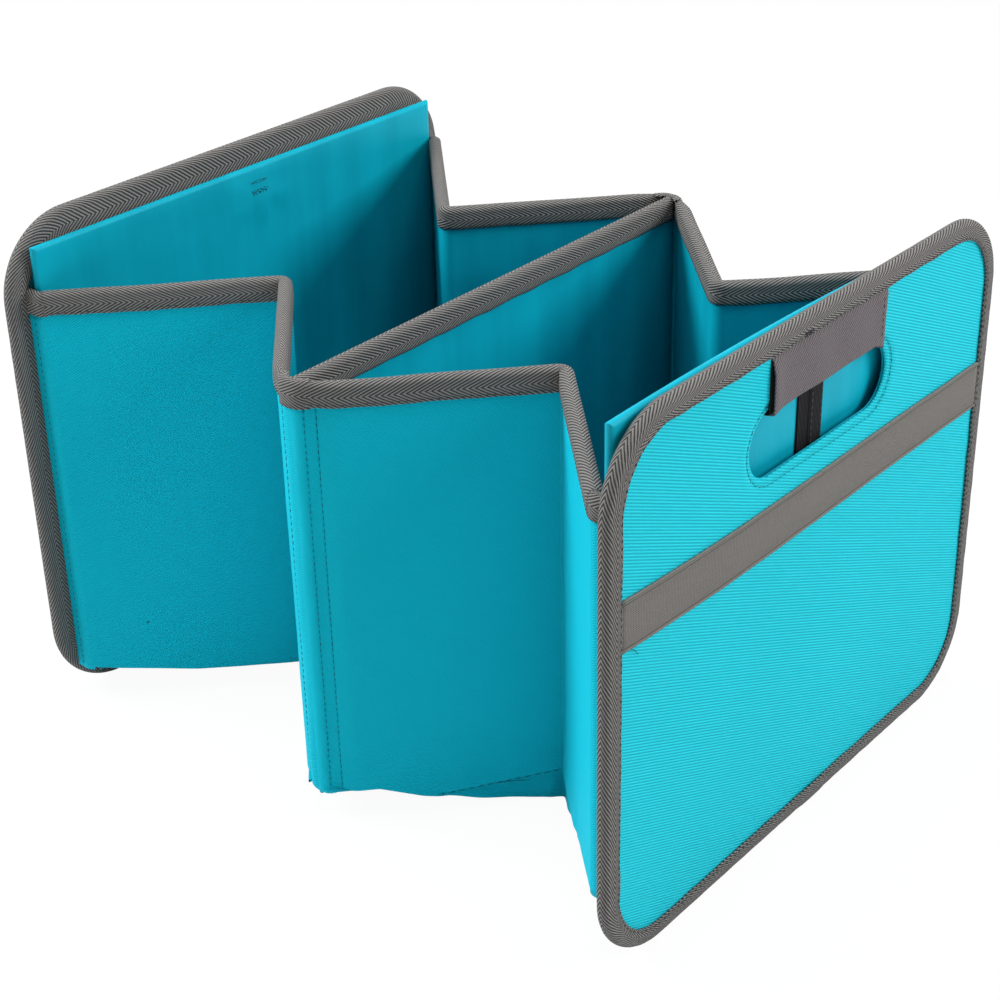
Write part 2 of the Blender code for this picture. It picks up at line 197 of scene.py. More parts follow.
def surface(name, points, pattern, finish, wrap_rows=False, wrap_columns=False, caps=False,
            facing=None, thick=0.0):
    """A piece over a grid of points, with its pattern coordinates in metres.

    A wrapped direction joins its last line to its first, and its pattern has one line more.
    It faces along facing, or outwards where facing is None and the grid closes on itself.
    A thick sheet gets its thickness away from the side that it faces.
    """
    rows, columns = points.shape[:2]
    row, column = grid_faces(rows, columns, wrap_rows, wrap_columns)
    quads = (row % rows) * columns + column % columns
    corners = pattern[row, column]
    flat = points.reshape(-1, 3)
    a, b, c, d = (flat[quads[:, i]] - flat.mean(0) for i in range(4))
    if facing is None:
        outward = np.sum(a * np.cross(b, c)) + np.sum(a * np.cross(c, d))
    else:
        outward = np.sum(np.cross(c - a, d - b) @ np.asarray(facing, float))
    if outward < 0:
        quads, corners = quads[:, ::-1], corners[:, ::-1]
    faces = quads.tolist()
    uv = corners.reshape(-1, 2)
    if caps:
        first = np.arange(columns)
        last = first + (rows - 1) * columns
        for ring in (first[::-1], last) if outward >= 0 else (first, last[::-1]):
            faces.append(ring.tolist())
            uv = np.vstack([uv, pattern.reshape(-1, 2)[:columns]])
    piece = smooth_piece(name, flat, faces, finish)
    layer = piece.data.uv_layers.new(name="pattern")
    layer.data.foreach_set("uv", uv.astype(np.float32).ravel())
    if thick:
        step = piece.modifiers.new("cloth_thickness", "SOLIDIFY")
        step.thickness = thick
        step.offset = -1.0
    return piece


def dress(piece, body=None, bend=None, replaces=()):
    """Fixes a piece to a body, or where a bend is given bakes its place into its mesh, and hides the
    CAD nodes that it replaces.
    """
    if bend:
        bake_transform(piece)
    else:
        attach(piece, body)
    if replaces:
        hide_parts(*replaces)
    return piece


def stitches(name, line, lift, finish, length=0.0023, gap=0.0013, radius=0.00024):
    """A row of thread stitches along a line of points, each a spindle sunk at both ends.

    The line's length is cut into equal stitches. A spindle is an octahedron drawn out along
    the line, whose waist stands off the cloth along lift.
    """
    line = np.asarray(line, float)
    lift = np.broadcast_to(np.asarray(lift, float), line.shape)
    run = distances(line)
    count = max(int(run[-1] / (length + gap)), 1)
    pitch = run[-1] / count
    start = np.arange(count) * pitch + (pitch - length) / 2

    def at(distance, values):
        return np.stack([np.interp(distance, run, values[:, i]) for i in range(3)], 1)

    first, last = at(start, line), at(start + length, line)
    up = at(start + length / 2, lift)
    up /= np.linalg.norm(up, axis=1, keepdims=True)
    along = last - first
    along /= np.linalg.norm(along, axis=1, keepdims=True)
    beside = np.cross(along, up)
    middle = at(start + length / 2, line)
    corners = np.stack([
        first - 0.3 * radius * up,
        middle + radius * up,
        middle + radius * beside,
        middle - radius * up,
        middle - radius * beside,
        last - 0.3 * radius * up,
    ], 1)
    spindle = np.array([
        [0, 1, 2], [0, 2, 3], [0, 3, 4], [0, 4, 1], [5, 2, 1], [5, 3, 2], [5, 4, 3], [5, 1, 4],
    ])
    faces = (spindle[None] + 6 * np.arange(count)[:, None, None]).reshape(-1, 3)
    return smooth_piece(name, corners.reshape(-1, 3), faces.tolist(), finish)


# Finishes

def add_node(tree, kind, inputs=None, **settings):
    """One shader node, with its settings and its inputs set or linked."""
    made = tree.nodes.new(kind)
    for key, value in settings.items():
        setattr(made, key, value)
    for key, value in (inputs or {}).items():
        socket = made.inputs[key]
        if isinstance(value, bpy.types.NodeSocket):
            tree.links.new(value, socket)
        else:
            socket.default_value = value
    return made


def reckon(tree, operation, *values):
    """The result of one Math node."""
    inputs = dict(enumerate(values))
    return add_node(tree, "ShaderNodeMath", inputs, operation=operation).outputs[0]


def ribs(tree, u, v, heading, pitch):
    """Straight ribs from 0 to 1: a sine across a heading, in degrees, of that pitch in metres."""
    angle = math.radians(heading)
    turn = 2 * math.pi / pitch
    across = reckon(
        tree, "ADD",
        reckon(tree, "MULTIPLY", u, math.cos(angle) * turn),
        reckon(tree, "MULTIPLY", v, math.sin(angle) * turn),
    )
    return reckon(tree, "MULTIPLY_ADD", reckon(tree, "SINE", across), 0.5, 0.5)


def pattern_axes(tree):
    """The two pattern coordinates of a piece, in metres."""
    uv = add_node(tree, "ShaderNodeUVMap", uv_map="pattern").outputs[0]
    split = add_node(tree, "ShaderNodeSeparateXYZ", {0: uv})
    return split.outputs[0], split.outputs[1]


def noise(tree, place, scale, detail):
    """The value of one noise texture at a place."""
    inputs = {"Vector": place, "Scale": scale, "Detail": detail}
    return add_node(tree, "ShaderNodeTexNoise", inputs).outputs[0]


def speckle(tree, scale, detail=2.0):
    """Soft noise over the piece, from 0 to 1."""
    return noise(tree, add_node(tree, "ShaderNodeTexCoord").outputs["Object"], scale, detail)


def ramp(tree, value, low, high, dark, light):
    """A colour between dark and light, as value goes from low to high."""
    share = add_node(
        tree, "ShaderNodeMapRange", {0: value, 1: low, 2: high, 3: 0.0, 4: 1.0}
    ).outputs[0]
    mixed = add_node(tree, "ShaderNodeMix", data_type="RGBA")
    tree.links.new(share, mixed.inputs[0])
    for socket, colour in ((6, dark), (7, light)):
        if isinstance(colour, bpy.types.NodeSocket):
            tree.links.new(colour, mixed.inputs[socket])
        else:
            mixed.inputs[socket].default_value = (*colour, 1.0)
    return mixed.outputs[2]


def finish_of(name, colour, height, depth, rough, sheen=0.0, gloss=0.1):
    """A shader whose colour and height are functions of its tree, with plain gloss values."""
    made = bpy.data.materials.new(name)
    made.use_nodes = True
    tree = made.node_tree
    shader = tree.nodes["Principled BSDF"]
    shader.inputs["Roughness"].default_value = rough
    shader.inputs["Sheen Weight"].default_value = sheen
    shader.inputs["Sheen Roughness"].default_value = 0.4
    shader.inputs["Specular IOR Level"].default_value = gloss
    tree.links.new(colour(tree), shader.inputs["Base Color"])
    relief = {"Strength": 1.0, "Distance": depth, "Height": height(tree)}
    bump = add_node(tree, "ShaderNodeBump", relief)
    tree.links.new(bump.outputs[0], shader.inputs["Normal"])
    return made


def woven(name, dark, light, heading, pitch, depth):
    """Plain weave seen as slanting ribs, crossed by finer ones, and faintly uneven."""
    def weave(tree):
        u, v = pattern_axes(tree)
        main = ribs(tree, u, v, heading, pitch)
        cross = ribs(tree, u, v, heading + 78, pitch * 0.62)
        return reckon(tree, "MULTIPLY", main, reckon(tree, "MULTIPLY_ADD", cross, 0.45, 0.55))

    def colour(tree):
        threads = ramp(tree, weave(tree), 0.05, 0.9, dark, light)
        worn = speckle(tree, 9.0, 4.0)
        shade = ramp(tree, worn, 0.35, 0.7, tuple(0.93 * c for c in dark), threads)
        blend = add_node(tree, "ShaderNodeMix", {0: 0.88}, data_type="RGBA")
        tree.links.new(shade, blend.inputs[6])
        tree.links.new(threads, blend.inputs[7])
        return blend.outputs[2]

    return finish_of(name, colour, weave, depth, 0.7, sheen=0.01, gloss=0.06)


def satin(name, deep, light):
    """Smooth lining: fine upright streaks and soft clouding under a low gloss."""
    def streaks(tree):
        place = add_node(tree, "ShaderNodeTexCoord").outputs["Object"]
        drawn = add_node(
            tree, "ShaderNodeMapping", {"Vector": place, "Scale": (60.0, 60.0, 3.0)}
        ).outputs[0]
        return noise(tree, drawn, 1.0, 3.0)

    def colour(tree):
        cloud = speckle(tree, 14.0, 3.0)
        both = reckon(tree, "MULTIPLY_ADD", streaks(tree), 0.6, reckon(tree, "MULTIPLY", cloud, 0.4))
        return ramp(tree, both, 0.3, 0.7, deep, light)

    return finish_of(name, colour, streaks, 0.0003, 0.5, gloss=0.10)


def herringbone(name, dark, light):
    """Twill tape: ribs at 28 degrees to its length that turn back at its middle and 9 mm off."""
    pitch = 0.0028
    slope = 1.9

    def twill(tree):
        u, v = pattern_axes(tree)
        fold = reckon(tree, "PINGPONG", v, 0.009)
        phase = reckon(tree, "MULTIPLY_ADD", fold, slope, u)
        wave = reckon(tree, "SINE", reckon(tree, "MULTIPLY", phase, 2 * math.pi / pitch))
        wide = reckon(tree, "MULTIPLY_ADD", wave, 0.5, 0.5)
        thread = ribs(tree, u, v, 90, 0.0006)
        return reckon(tree, "MULTIPLY_ADD", thread, 0.12, reckon(tree, "MULTIPLY", wide, 0.88))

    def colour(tree):
        return ramp(tree, twill(tree), 0.10, 0.75, dark, light)

    return finish_of(name, colour, twill, 0.0004, 0.8, sheen=0.04)


def ribbed(name, dark, light, heading, pitch, depth, cross=0.0011):
    """Close straight ribs with a finer thread across them."""
    def rows(tree):
        u, v = pattern_axes(tree)
        main = ribs(tree, u, v, heading, pitch)
        thread = ribs(tree, u, v, heading + 90, cross)
        return reckon(tree, "MULTIPLY_ADD", thread, 0.3, reckon(tree, "MULTIPLY", main, 0.7))

    def colour(tree):
        grain = speckle(tree, 900.0)
        both = reckon(tree, "MULTIPLY_ADD", rows(tree), 0.75, reckon(tree, "MULTIPLY", grain, 0.25))
        return ramp(tree, both, 0.15, 0.85, dark, light)

    return finish_of(name, colour, rows, depth, 0.8, sheen=0.03)


def fibrous(name, dark, light, scale, rough):
    """Pressed or spun fibre: fine noise in colour and height."""
    return finish_of(
        name,
        lambda tree: ramp(tree, speckle(tree, scale, 4.0), 0.3, 0.7, dark, light),
        lambda tree: speckle(tree, scale * 1.7),
        0.0002,
        rough,
    )


# The end cloth is the walls' cloth with painted light: lighter, less blue and redder, as it looks lit
# on the end face. Its coarser weave is its own.
END_CLOTH_PAINTED_LIT = woven("end_cloth_painted_lit", (0.006, 0.355, 0.435), (0.022, 0.615, 0.735), 66, 0.0014, 0.00022)
WALL_CLOTH = woven("wall_cloth", (0.0006, 0.37, 0.485), (0.0020, 0.49, 0.635), 58, 0.0011, 0.00016)
SATIN = satin("satin_lining", (0.0004, 0.275, 0.375), (0.0010, 0.365, 0.485))
TAPE = herringbone("herringbone_tape", (0.024, 0.024, 0.026), (0.215, 0.205, 0.195))
ELASTIC = ribbed("ribbed_elastic", (0.085, 0.080, 0.074), (0.20, 0.19, 0.175), 90, 0.0009, 0.0002)
WEBBING = ribbed("grip_webbing", (0.060, 0.051, 0.055), (0.175, 0.155, 0.165), 53, 0.0014, 0.0003)
# The strap's black, also used as painted shade under the handle webbing.
STRAP_AND_GAP_SHADE = ribbed("black_strap", (0.004, 0.004, 0.005), (0.016, 0.016, 0.018), 0, 0.0012, 0.0003)
BOARD = fibrous("grey_board", (0.16, 0.15, 0.13), (0.27, 0.25, 0.22), 400.0, 0.9)
DARK_THREAD = fibrous("dark_thread", (0.012, 0.018, 0.022), (0.035, 0.045, 0.05), 1500.0, 0.7)
# Blue thread, also used as painted shade along the front walls' crease.
BLUE_THREAD_AND_SHADE = fibrous("blue_thread_and_shade", (0.003, 0.07, 0.10), (0.008, 0.14, 0.18), 1500.0, 0.7)
PALE_THREAD = fibrous("pale_thread", (0.09, 0.075, 0.05), (0.17, 0.145, 0.11), 1500.0, 0.7)


# Side walls

def folded_line(side, way, level, mid, fold_steps, end, corner_turns=()):
    """Stations along a folded sheet seen end on: origin, inward direction, and run.

    The mid leaf is a straight line from the divider's hinge, the end leaf one from the end's
    hinge, both drawn on the plane of their outer hinge. Between them the inward direction
    turns about the fold. Corner turns carry the line on round the end's hinge. The hinges
    are at level on the second axis, and inward is along way.
    """
    mid, end, corner_turns = (np.asarray(values, float) for values in (mid, end, corner_turns))
    turns = np.linspace(-FOLD, FOLD, fold_steps + 2)[1:-1]

    def turned(angle):
        return np.stack([side * np.sin(angle), way * np.cos(angle)], -1)

    inward, inward_back, corner = turned(-FOLD), turned(FOLD), turned(FOLD - corner_turns)
    out = np.array([side * math.cos(FOLD), way * math.sin(FOLD)])
    first = np.array([side * DIVIDER_HINGE, level])
    last = np.array([side * END_HINGE, level])
    crease = first + LEAF_LENGTH * out - LEAF_STEP * inward
    origins = np.vstack([
        first + mid[:, None] * out - LEAF_STEP * inward,
        np.tile(crease, (len(turns), 1)),
        last + end[:, None] * out * (-1, 1) - LEAF_STEP * inward_back,
        last - LEAF_STEP * corner,
    ])
    inwards = np.vstack([
        np.tile(inward, (len(mid), 1)), turned(turns), np.tile(inward_back, (len(end), 1)), corner,
    ])
    run = np.concatenate([
        mid,
        LEAF_LENGTH + FOLD_ARC * (turns + FOLD) / (2 * FOLD),
        2 * LEAF_LENGTH + FOLD_ARC - end,
        2 * LEAF_LENGTH + FOLD_ARC + CORNER_ARC * corner_turns,
    ])
    return origins, inwards, run


def wall_stations(side, hand, mid, fold_steps, end, corner_turns=()):
    """Stations along a side wall, in plan."""
    return folded_line(side, -hand, hand * HINGE_Y, mid, fold_steps, end, corner_turns)


def leaf_stations(side, hand, leaf, reach):
    """Stations along one leaf of a wall, at these distances from its hinge."""
    mid, end = (reach, []) if leaf == "mid" else ([], reach)
    return wall_stations(side, hand, mid, 0, end)


def skirt_edge(side, run):
    """Height of a wall's lower edge along its run, where the gusset cloth hangs below it.

    It sags to the fold. A front wall's climbs again in a straight line to the end panel.
    A rear wall's steps up at the fold and climbs less. Later places count back from the
    wall's end.
    """
    if side > 0:
        places = (0.0, 0.024, 0.046, 0.084, LEAF_LENGTH)
        later = (-LEAF_LENGTH, -0.0427, -0.0109, 0.0)
        heights = (0.0152, 0.0154, 0.0086, 0.0031, 0.0004, 0.0004, 0.0276, 0.0344, 0.0366)
    else:
        places = (0.0, 0.030, LEAF_LENGTH, LEAF_LENGTH)
        later = (-0.056, -0.0135, 0.0)
        heights = (0.0152, 0.0140, 0.0052, REAR_STEP_TOP, 0.0125, 0.0173, 0.0193)
    return np.interp(run, np.concatenate([places, np.add(later, WALL_RUN)]), heights)


def crease_edge(side, run):
    """Height of the crease where a leaf's stiff part ends and its gusset cloth begins."""
    low = skirt_edge(side, run)
    if side > 0:
        places = (0.046, LEAF_LENGTH, WALL_RUN - LEAF_LENGTH, WALL_RUN - 0.055)
        heights = (0.0088, 0.0185, 0.0185, 0.0255)
    else:
        places = (0.030, LEAF_LENGTH, WALL_RUN - LEAF_LENGTH, WALL_RUN - 0.051)
        heights = (0.0142, 0.0144, 0.0144, 0.0142)
    return np.maximum(np.interp(run, places, heights), low + 0.0022)


def pinch(run):
    """How far a wall's outer skin dips in beside the divider, where it holds no board yet."""
    share = np.clip(run / 0.0155, 0, 1)
    return 0.0030 * (1 - share**2 * (3 - 2 * share))


def even(start, stop, count, ease=0.0012):
    """Evenly spaced values with one more close to each end."""
    inner = np.linspace(start, stop, count)
    step = math.copysign(ease, stop - start)
    return np.concatenate([[start, start + step], inner[1:-1], [stop - step, stop]])


def fold_bend(name, side, hand, word):
    """The two leaf bodies, and the two ends of the strip across their fold."""
    y = hand * (HINGE_Y - LEAF_PITCH * math.sin(REST_FOLD))
    near, far = ((side * x, y, 0.1) for x in RIDGE_STRIP)
    return f"{name}_{word}_mid_leaf", f"{name}_{word}_end_leaf", near, far


def swept(origins, inwards, depth, z):
    """Points at a depth inward from each station of a wall, at heights z."""
    return at_heights(origins[None] + depth[..., None] * inwards[None], z)


def outer_cloth(name, side, hand, seed):
    """The outer cloth over both leaves of a wall, as one sheet folded along the crease.

    Rows go up it in four stretches: a hem that rolls under, the hanging gusset cloth, a lip
    along the crease, and the leaf. Past the end's hinge it dives below the corner cloth.
    """
    groove = TUCK_ROWS[1] + 0.0003 * np.arange(-3, 4)
    mid = np.sort(np.concatenate([even(0.0, LEAF_LENGTH, 62), groove]))
    end = even(LEAF_LENGTH, 0.0, 62)
    corner = np.radians([6, 12, 18, 24, 30, 36, 42])
    origins, inwards, run = wall_stations(side, hand, mid, FOLD_STEPS, end, corner)
    low, crease = skirt_edge(side, run), crease_edge(side, run)
    turn = np.linspace(0, np.pi / 2, 5)[:-1, None]
    share = np.linspace(0, 1, 8)[1:-1, None]
    rise = np.linspace(0, 1, 5)[:, None]
    climb = np.linspace(0, 1, 46)[1:, None]
    lip = crease + CREASE_LIP
    hem = low + CREASE_LIP
    z = np.vstack([
        low + CREASE_LIP * (1 - np.cos(turn)),
        hem + share * (crease - low - CREASE_LIP),
        crease + CREASE_LIP * rise,
        lip + climb * (CLOTH_TOP - crease - CREASE_LIP),
    ])
    depth = np.full(z.shape, OUTER_SKIN)
    depth[:4] += 0.0014 * (1 - np.sin(turn))
    past = np.clip(run - WALL_RUN, 0, 0.0045) / 0.0045
    depth += 0.0006 * past**2 + pinch(run) + 0.0004 * ridge(run - TUCK_ROWS[1], 0.0005)
    depth -= gusset_relief(run, z, low, crease) + leaf_relief(seed, run, z)
    points = swept(origins, inwards, depth, z)
    pattern = grid_of(run, z)
    return surface(name, points, pattern, WALL_CLOTH, facing=(0, hand, 0), thick=CLOTH_THICK)


def gusset_relief(run, z, low, crease):
    """How far the leaf stands proud of its gusset cloth, and the small pleat by the fold.

    Above the crease the leaf swells out in a quarter circle and falls off as a bell.
    """
    above = z - crease
    hangs = np.clip((crease - low - 0.0023) / 0.0015, 0, 1)
    fall = np.exp(-np.clip(above, 0, None) / 0.012)
    swell = CREASE_LIP * quarter_circle(above / CREASE_LIP) * fall * hangs
    tucked = np.clip(-above / 0.0006, 0, 1) * np.exp(-np.clip(-above, 0, None) / 0.007)
    bag = -0.0012 * tucked * hangs + 0.0007 * hangs * ridge(above + 0.008, 0.006) * np.sin(run * 190)
    pleat = 0.0016 * ridge(run - LEAF_LENGTH + 0.005, 0.0026) * ridge(z - 0.0085, 0.0060)
    return swell + bag + pleat


def leaf_relief(seed, run, z):
    """Slight unevenness of a stiffened leaf, calm near its seams and below its tape."""
    soft = 0.00022 * wave_noise(run, z, seed, 0.11) + 0.00006 * wave_noise(run, z, seed + 1, 0.022)
    return soft * seam_calm(run) * np.clip((TAPED_DOWN_TO - z) / SEAM_CALM, 0, 1)


def seam_calm(run):
    """Nought at a wall's two upright seams and one away from them."""
    return np.clip(np.minimum(run, WALL_RUN - run) / SEAM_CALM, 0, 1)


def wall_lining(name, side, hand, seed):
    """The lining over both leaves, which rolls under them and round their upright edges.

    It hangs in long soft waves, mostly upright. At the bottom a quarter ellipse takes it to
    the back of the outer cloth.
    """
    mid = even(0.0008, LEAF_LENGTH, 34)
    end = even(LEAF_LENGTH, 0.0006, 34)
    origins, inwards, run = wall_stations(side, hand, mid, FOLD_STEPS, end)
    turn = np.linspace(0, np.pi / 2, 6)[:-1, None]
    half = INNER_SKIN - MIDDLE
    low = np.maximum(skirt_edge(side, run) + 0.0006, WALL_BOTTOM)
    climb = np.linspace(0, 1, 46)[:, None]
    z = np.vstack([
        low + half * (1 - np.cos(turn)),
        low + half + climb * (CLOTH_TOP - half - low),
    ])
    depth = np.full(z.shape, INNER_SKIN)
    depth[:5] -= (INNER_SKIN - OUTER_SKIN - 0.0009) * (1 - np.sin(turn))
    free = np.clip((z - low) / SEAM_CALM, 0, 1) * np.clip((TAPED_DOWN_TO - z) / SEAM_CALM, 0, 1)
    waves = 0.00045 * wave_noise(run, 0.35 * z, seed, 0.045)
    waves += 0.00018 * wave_noise(run, z, seed + 1, 0.03)
    depth += waves * free * seam_calm(run)
    points = swept(origins, inwards, depth, z)
    pattern = grid_of(run, z)
    points, pattern = curled(points, pattern, inwards, half)
    return surface(name, points, pattern, SATIN, facing=(0, -hand, 0), thick=CLOTH_THICK)


def leaf_board(name, side, hand, leaf):
    """The board inside a leaf, with a lower edge just above the crease in the cloth."""
    reach = np.linspace(0.0135 if leaf == "mid" else 0.0058, LEAF_LENGTH - 0.0014, 30)
    origins, inwards, run = leaf_stations(side, hand, leaf, reach)
    low = np.maximum(np.maximum(skirt_edge(side, run), WALL_BOTTOM), crease_edge(side, run)) + 0.0015
    top = np.full(len(run), WALL_TOP - 0.0032)
    depth = MIDDLE + 0.0012 * np.array([[-1.0], [1.0], [1.0], [-1.0]]) * np.ones(len(run))
    points = swept(origins, inwards, depth, np.stack([low, low, top, top])).transpose(1, 0, 2)
    pattern = grid_of(run[:, None], 0.01 * np.arange(5.0))
    return surface(name, points, pattern, BOARD, wrap_columns=True, caps=True)


def curled(points, pattern, inwards, half):
    """Adds upright rolls to both edges of the inner skin: half circles round the leaf's edge.

    The first is smaller, because the leaf is thin beside the divider. The lowest rows take
    less of it, because the bottom already rolls under.
    """
    turn = np.linspace(0, np.pi, 7)[1:]
    fade = np.ones(len(points))
    fade[:5] = np.sin(np.linspace(0, np.pi / 2, 6)[:5])
    added = []
    for column, step, size in ((0, 1, 0.3 * half), (-1, -2, half)):
        along = points[:, column, :2] - points[:, step, :2]
        along = along / np.linalg.norm(along, axis=1, keepdims=True)
        roll = []
        for angle in turn:
            move = size * (np.cos(angle) - 1) * inwards[column] * fade[:, None]
            plan = points[:, column, :2] + move + 0.0006 * np.sin(angle) * along
            roll.append(at_heights(plan, points[:, column, 2]))
        added.append(np.stack(roll, 1))
    shift = 0.0015 * grid_of(np.arange(1, len(turn) + 1), 0.0)[None]
    before = pattern[:, :1] - shift[:, ::-1]
    after = pattern[:, -1:] + shift
    points = np.concatenate([added[0][:, ::-1], points, added[1]], 1)
    return points, np.concatenate([before, pattern, after], 1)


def tape_profile(half, leg):
    """Section of a folded tape as (across, down), a closed loop, and its run across the tape.

    Its legs swell a little, and a half ellipse goes over the edge between them.
    """
    turn = np.linspace(0, np.pi, 13)
    crown = np.stack([half * np.cos(turn), TAPE_CROWN * (1 - np.sin(turn))], 1)
    down = np.linspace(leg, TAPE_CROWN, 7)[:-1]
    puff = 0.00025 * np.sin(np.linspace(0, np.pi, 6))
    first = np.stack([half + puff, down], 1)
    outer = np.vstack([first, crown, (first * (-1, 1))[::-1]])
    inner = outer[::-1] * (1 - TAPE_THICK / half * 0.999, 1)
    inner[:, 1] = np.maximum(inner[:, 1], TAPE_EDGE)
    inner[0, 1] = inner[-1, 1] = leg
    run = distances(outer)
    run -= run[-1] / 2
    return np.vstack([outer, inner]), np.concatenate([run, run[::-1], run[:1]])


def wall_tape(name, side, hand):
    """The tape along a wall's top: its section carried over both leaves and round the fold."""
    mid = even(0.0002, LEAF_LENGTH, 30)
    end = even(LEAF_LENGTH, -0.0002, 30)
    origins, inwards, run = wall_stations(side, hand, mid, FOLD_STEPS, end)
    profile, across = tape_profile(TAPE_HALF, TAPE_LEG)
    wobble = 0.0003 * wave_noise(run[:, None], 40 * across[None, :-1], 31 + side + 3 * hand, 0.02)
    down = profile[None, :, 1] + wobble * (profile[None, :, 1] > 0.008)
    sway = 0.0004 * wave_noise(run, 0 * run, 7 + side, 0.07)
    outer = (TAPE_HALF - profile[None, :, 0]) / (2 * TAPE_HALF)
    r = MIDDLE + profile[None, :, 0] + pinch(run)[:, None] * outer
    plan = origins[:, None] + r[..., None] * inwards[:, None]
    z = WALL_TOP + sway[:, None] - down
    points = at_heights(plan, z)
    pattern = grid_of(run[:, None], across[None])
    return surface(name, points, pattern, TAPE, wrap_columns=True, caps=True)


def wall_line(side, hand, depth, z_of, mid, end, fold_steps=FOLD_STEPS):
    """A line along a wall at one depth, with the direction that points away from the cloth."""
    origins, inwards, run = wall_stations(side, hand, mid, fold_steps, end)
    outer = depth < MIDDLE
    plan = origins + (depth + pinch(run)[:, None] * outer) * inwards
    return at_heights(plan, z_of(run)), at_heights(inwards * (-1 if outer else 1), 0.0)


def upright_line(side, hand, depth, at, low, high):
    """A line up the outside of a mid leaf at a distance from its hinge, as wall_line has it."""
    origins, inwards, _ = leaf_stations(side, hand, "mid", [at])
    plan = np.tile(origins[0] + (depth + pinch(at)) * inwards[0], (60, 1))
    return at_heights(plan, np.linspace(low, high, 60)), np.array([*-inwards[0], 0.0])


def nose_path(side, hand, grow, reach):
    """The outer cloth's plan line from the middle of the divider's nose on to the mid leaf.

    Straight across the nose, then a cubic that leaves along the nose and arrives along the
    leaf, then straight on for reach. Grow moves the line outwards.
    """
    out = np.array([side * math.cos(FOLD), -hand * math.sin(FOLD)])
    inward = np.array([-side * math.sin(FOLD), -hand * math.cos(FOLD)])
    hinge = np.array([side * DIVIDER_HINGE, hand * HINGE_Y])
    depth = LEAF_STEP - OUTER_SKIN - pinch(0.0) + 0.0003 + grow
    start = np.array([side * 0.0012, hand * (NOSE_Y + grow)])
    stop = hinge - depth * inward
    t = np.linspace(0, 1, 13)[:, None]
    pull = 0.9 * np.linalg.norm(stop - start)
    curve = (
        (2 * t**3 - 3 * t**2 + 1) * start
        + (t**3 - 2 * t**2 + t) * pull * np.array([side, 0.0])
        + (3 * t**2 - 2 * t**3) * stop
        + (t**3 - t**2) * pull * out
    )
    middle = np.array([0.0, start[1]])
    flat = np.linspace(0, 1, 5)[:-1, None] * start + np.linspace(1, 0, 5)[:-1, None] * middle
    on = stop + np.linspace(0, reach, 8)[1:, None] * out
    plan = np.vstack([flat, curve, on])
    step = np.gradient(plan, axis=0)
    step /= np.linalg.norm(step, axis=1, keepdims=True)
    inside = np.stack([-step[:, 1], step[:, 0]], 1)
    inside *= np.sign(np.sum(inside * np.array([0.0, -hand]), 1))[:, None]
    run = distances(plan)
    return plan, inside, run


def nose_bend(name, side, hand, word):
    """The divider and the mid leaf, and the two ends of the corner between them."""
    start = (side * 0.0022, hand * 0.147, 0.1)
    stop = (side * 0.0102, hand * 0.147, 0.1)
    return "divider", f"{name}_{word}_mid_leaf", start, stop


def corner_cloth(name, side, hand):
    """The outer cloth's tuck round the divider's nose, rolled under at the bottom."""
    plan, inside, run = nose_path(side, hand, grow=0.0, reach=0.0034)
    groove = 0.0003 * ridge(run - run[-1] + 0.0034 - TUCK_ROWS[0], 0.0006)
    turn = np.linspace(0, np.pi / 2, 6)
    hem, low = 0.004, 0.0122
    climb = np.linspace(low + hem, WALL_TOP - 0.003, 40)
    z = np.concatenate([low + hem * (1 - np.cos(turn[:-1])), climb])
    tuck = np.concatenate([hem * (1 - np.sin(turn[:-1])), 0 * climb])
    sway = 0.00035 * wave_noise(z[:, None], run[None] * 2, 5 + side + hand, 0.06)
    lip = 0.0004 * np.clip((run - run[-1] + 0.0012) / 0.0012, 0, 1)
    depth = tuck[:, None] + sway * np.sin(np.pi * run / run[-1])[None] + (lip + groove)[None]
    xy = plan[None] + depth[..., None] * inside[None]
    points = at_heights(xy, z[:, None])
    pattern = grid_of(run[None], z[:, None])
    return surface(name, points, pattern, WALL_CLOTH, facing=(0, hand, 0), thick=CORNER_THICK)


def tape_round(name, hand, plan, inside, along, inward, z):
    """Tape along a plan line, from its section: how far inward and how high each row is."""
    fall = distances(np.stack([inward, z], 1)) - 0.0155
    xy = plan[None] + inward[:, None, None] * inside[None]
    pattern = grid_of(along[None], fall[:, None])
    points = at_heights(xy, z[:, None])
    return surface(name, points, pattern, TAPE, facing=(0, hand, 0.4), thick=WEB_THICK)


def corner_tape(name, side, hand):
    """The tape where two walls meet over the divider's nose, from its leg to over the top."""
    plan, inside, run = nose_path(side, hand, grow=0.0012, reach=0.004)
    inward = np.array([0.0, 0.0001, 0.0, 0.0, 0.0003, 0.0009, 0.0018, 0.0032, 0.0046, 0.0056])
    z = np.array([0.2254, 0.2275, 0.2310, 0.2345, 0.2366, 0.2379, 0.2386, 0.2388, 0.2386, 0.2380])
    return tape_round(name, hand, plan, inside, run * side, inward, z)


def end_corner_path(side, hand, radius, set_in, set_out):
    """A plan line from beside the end's tape to round the end's hinge, and its inward side."""
    turn = np.linspace(0, END_CORNER_TURN, 12)
    way = np.stack([-side * np.sin(turn), hand * np.cos(turn)], 1)
    arc = np.array([side * END_HINGE, hand * HINGE_Y]) + radius * way
    start = np.array([side * (END_X - set_in), hand * (HINGE_Y + set_out)])
    plan = np.vstack([start + np.linspace(0, 1, 7)[:-1, None] * (arc[0] - start), arc])
    return plan, np.vstack([np.tile([0.0, -float(hand)], (6, 1)), -way]), distances(plan)


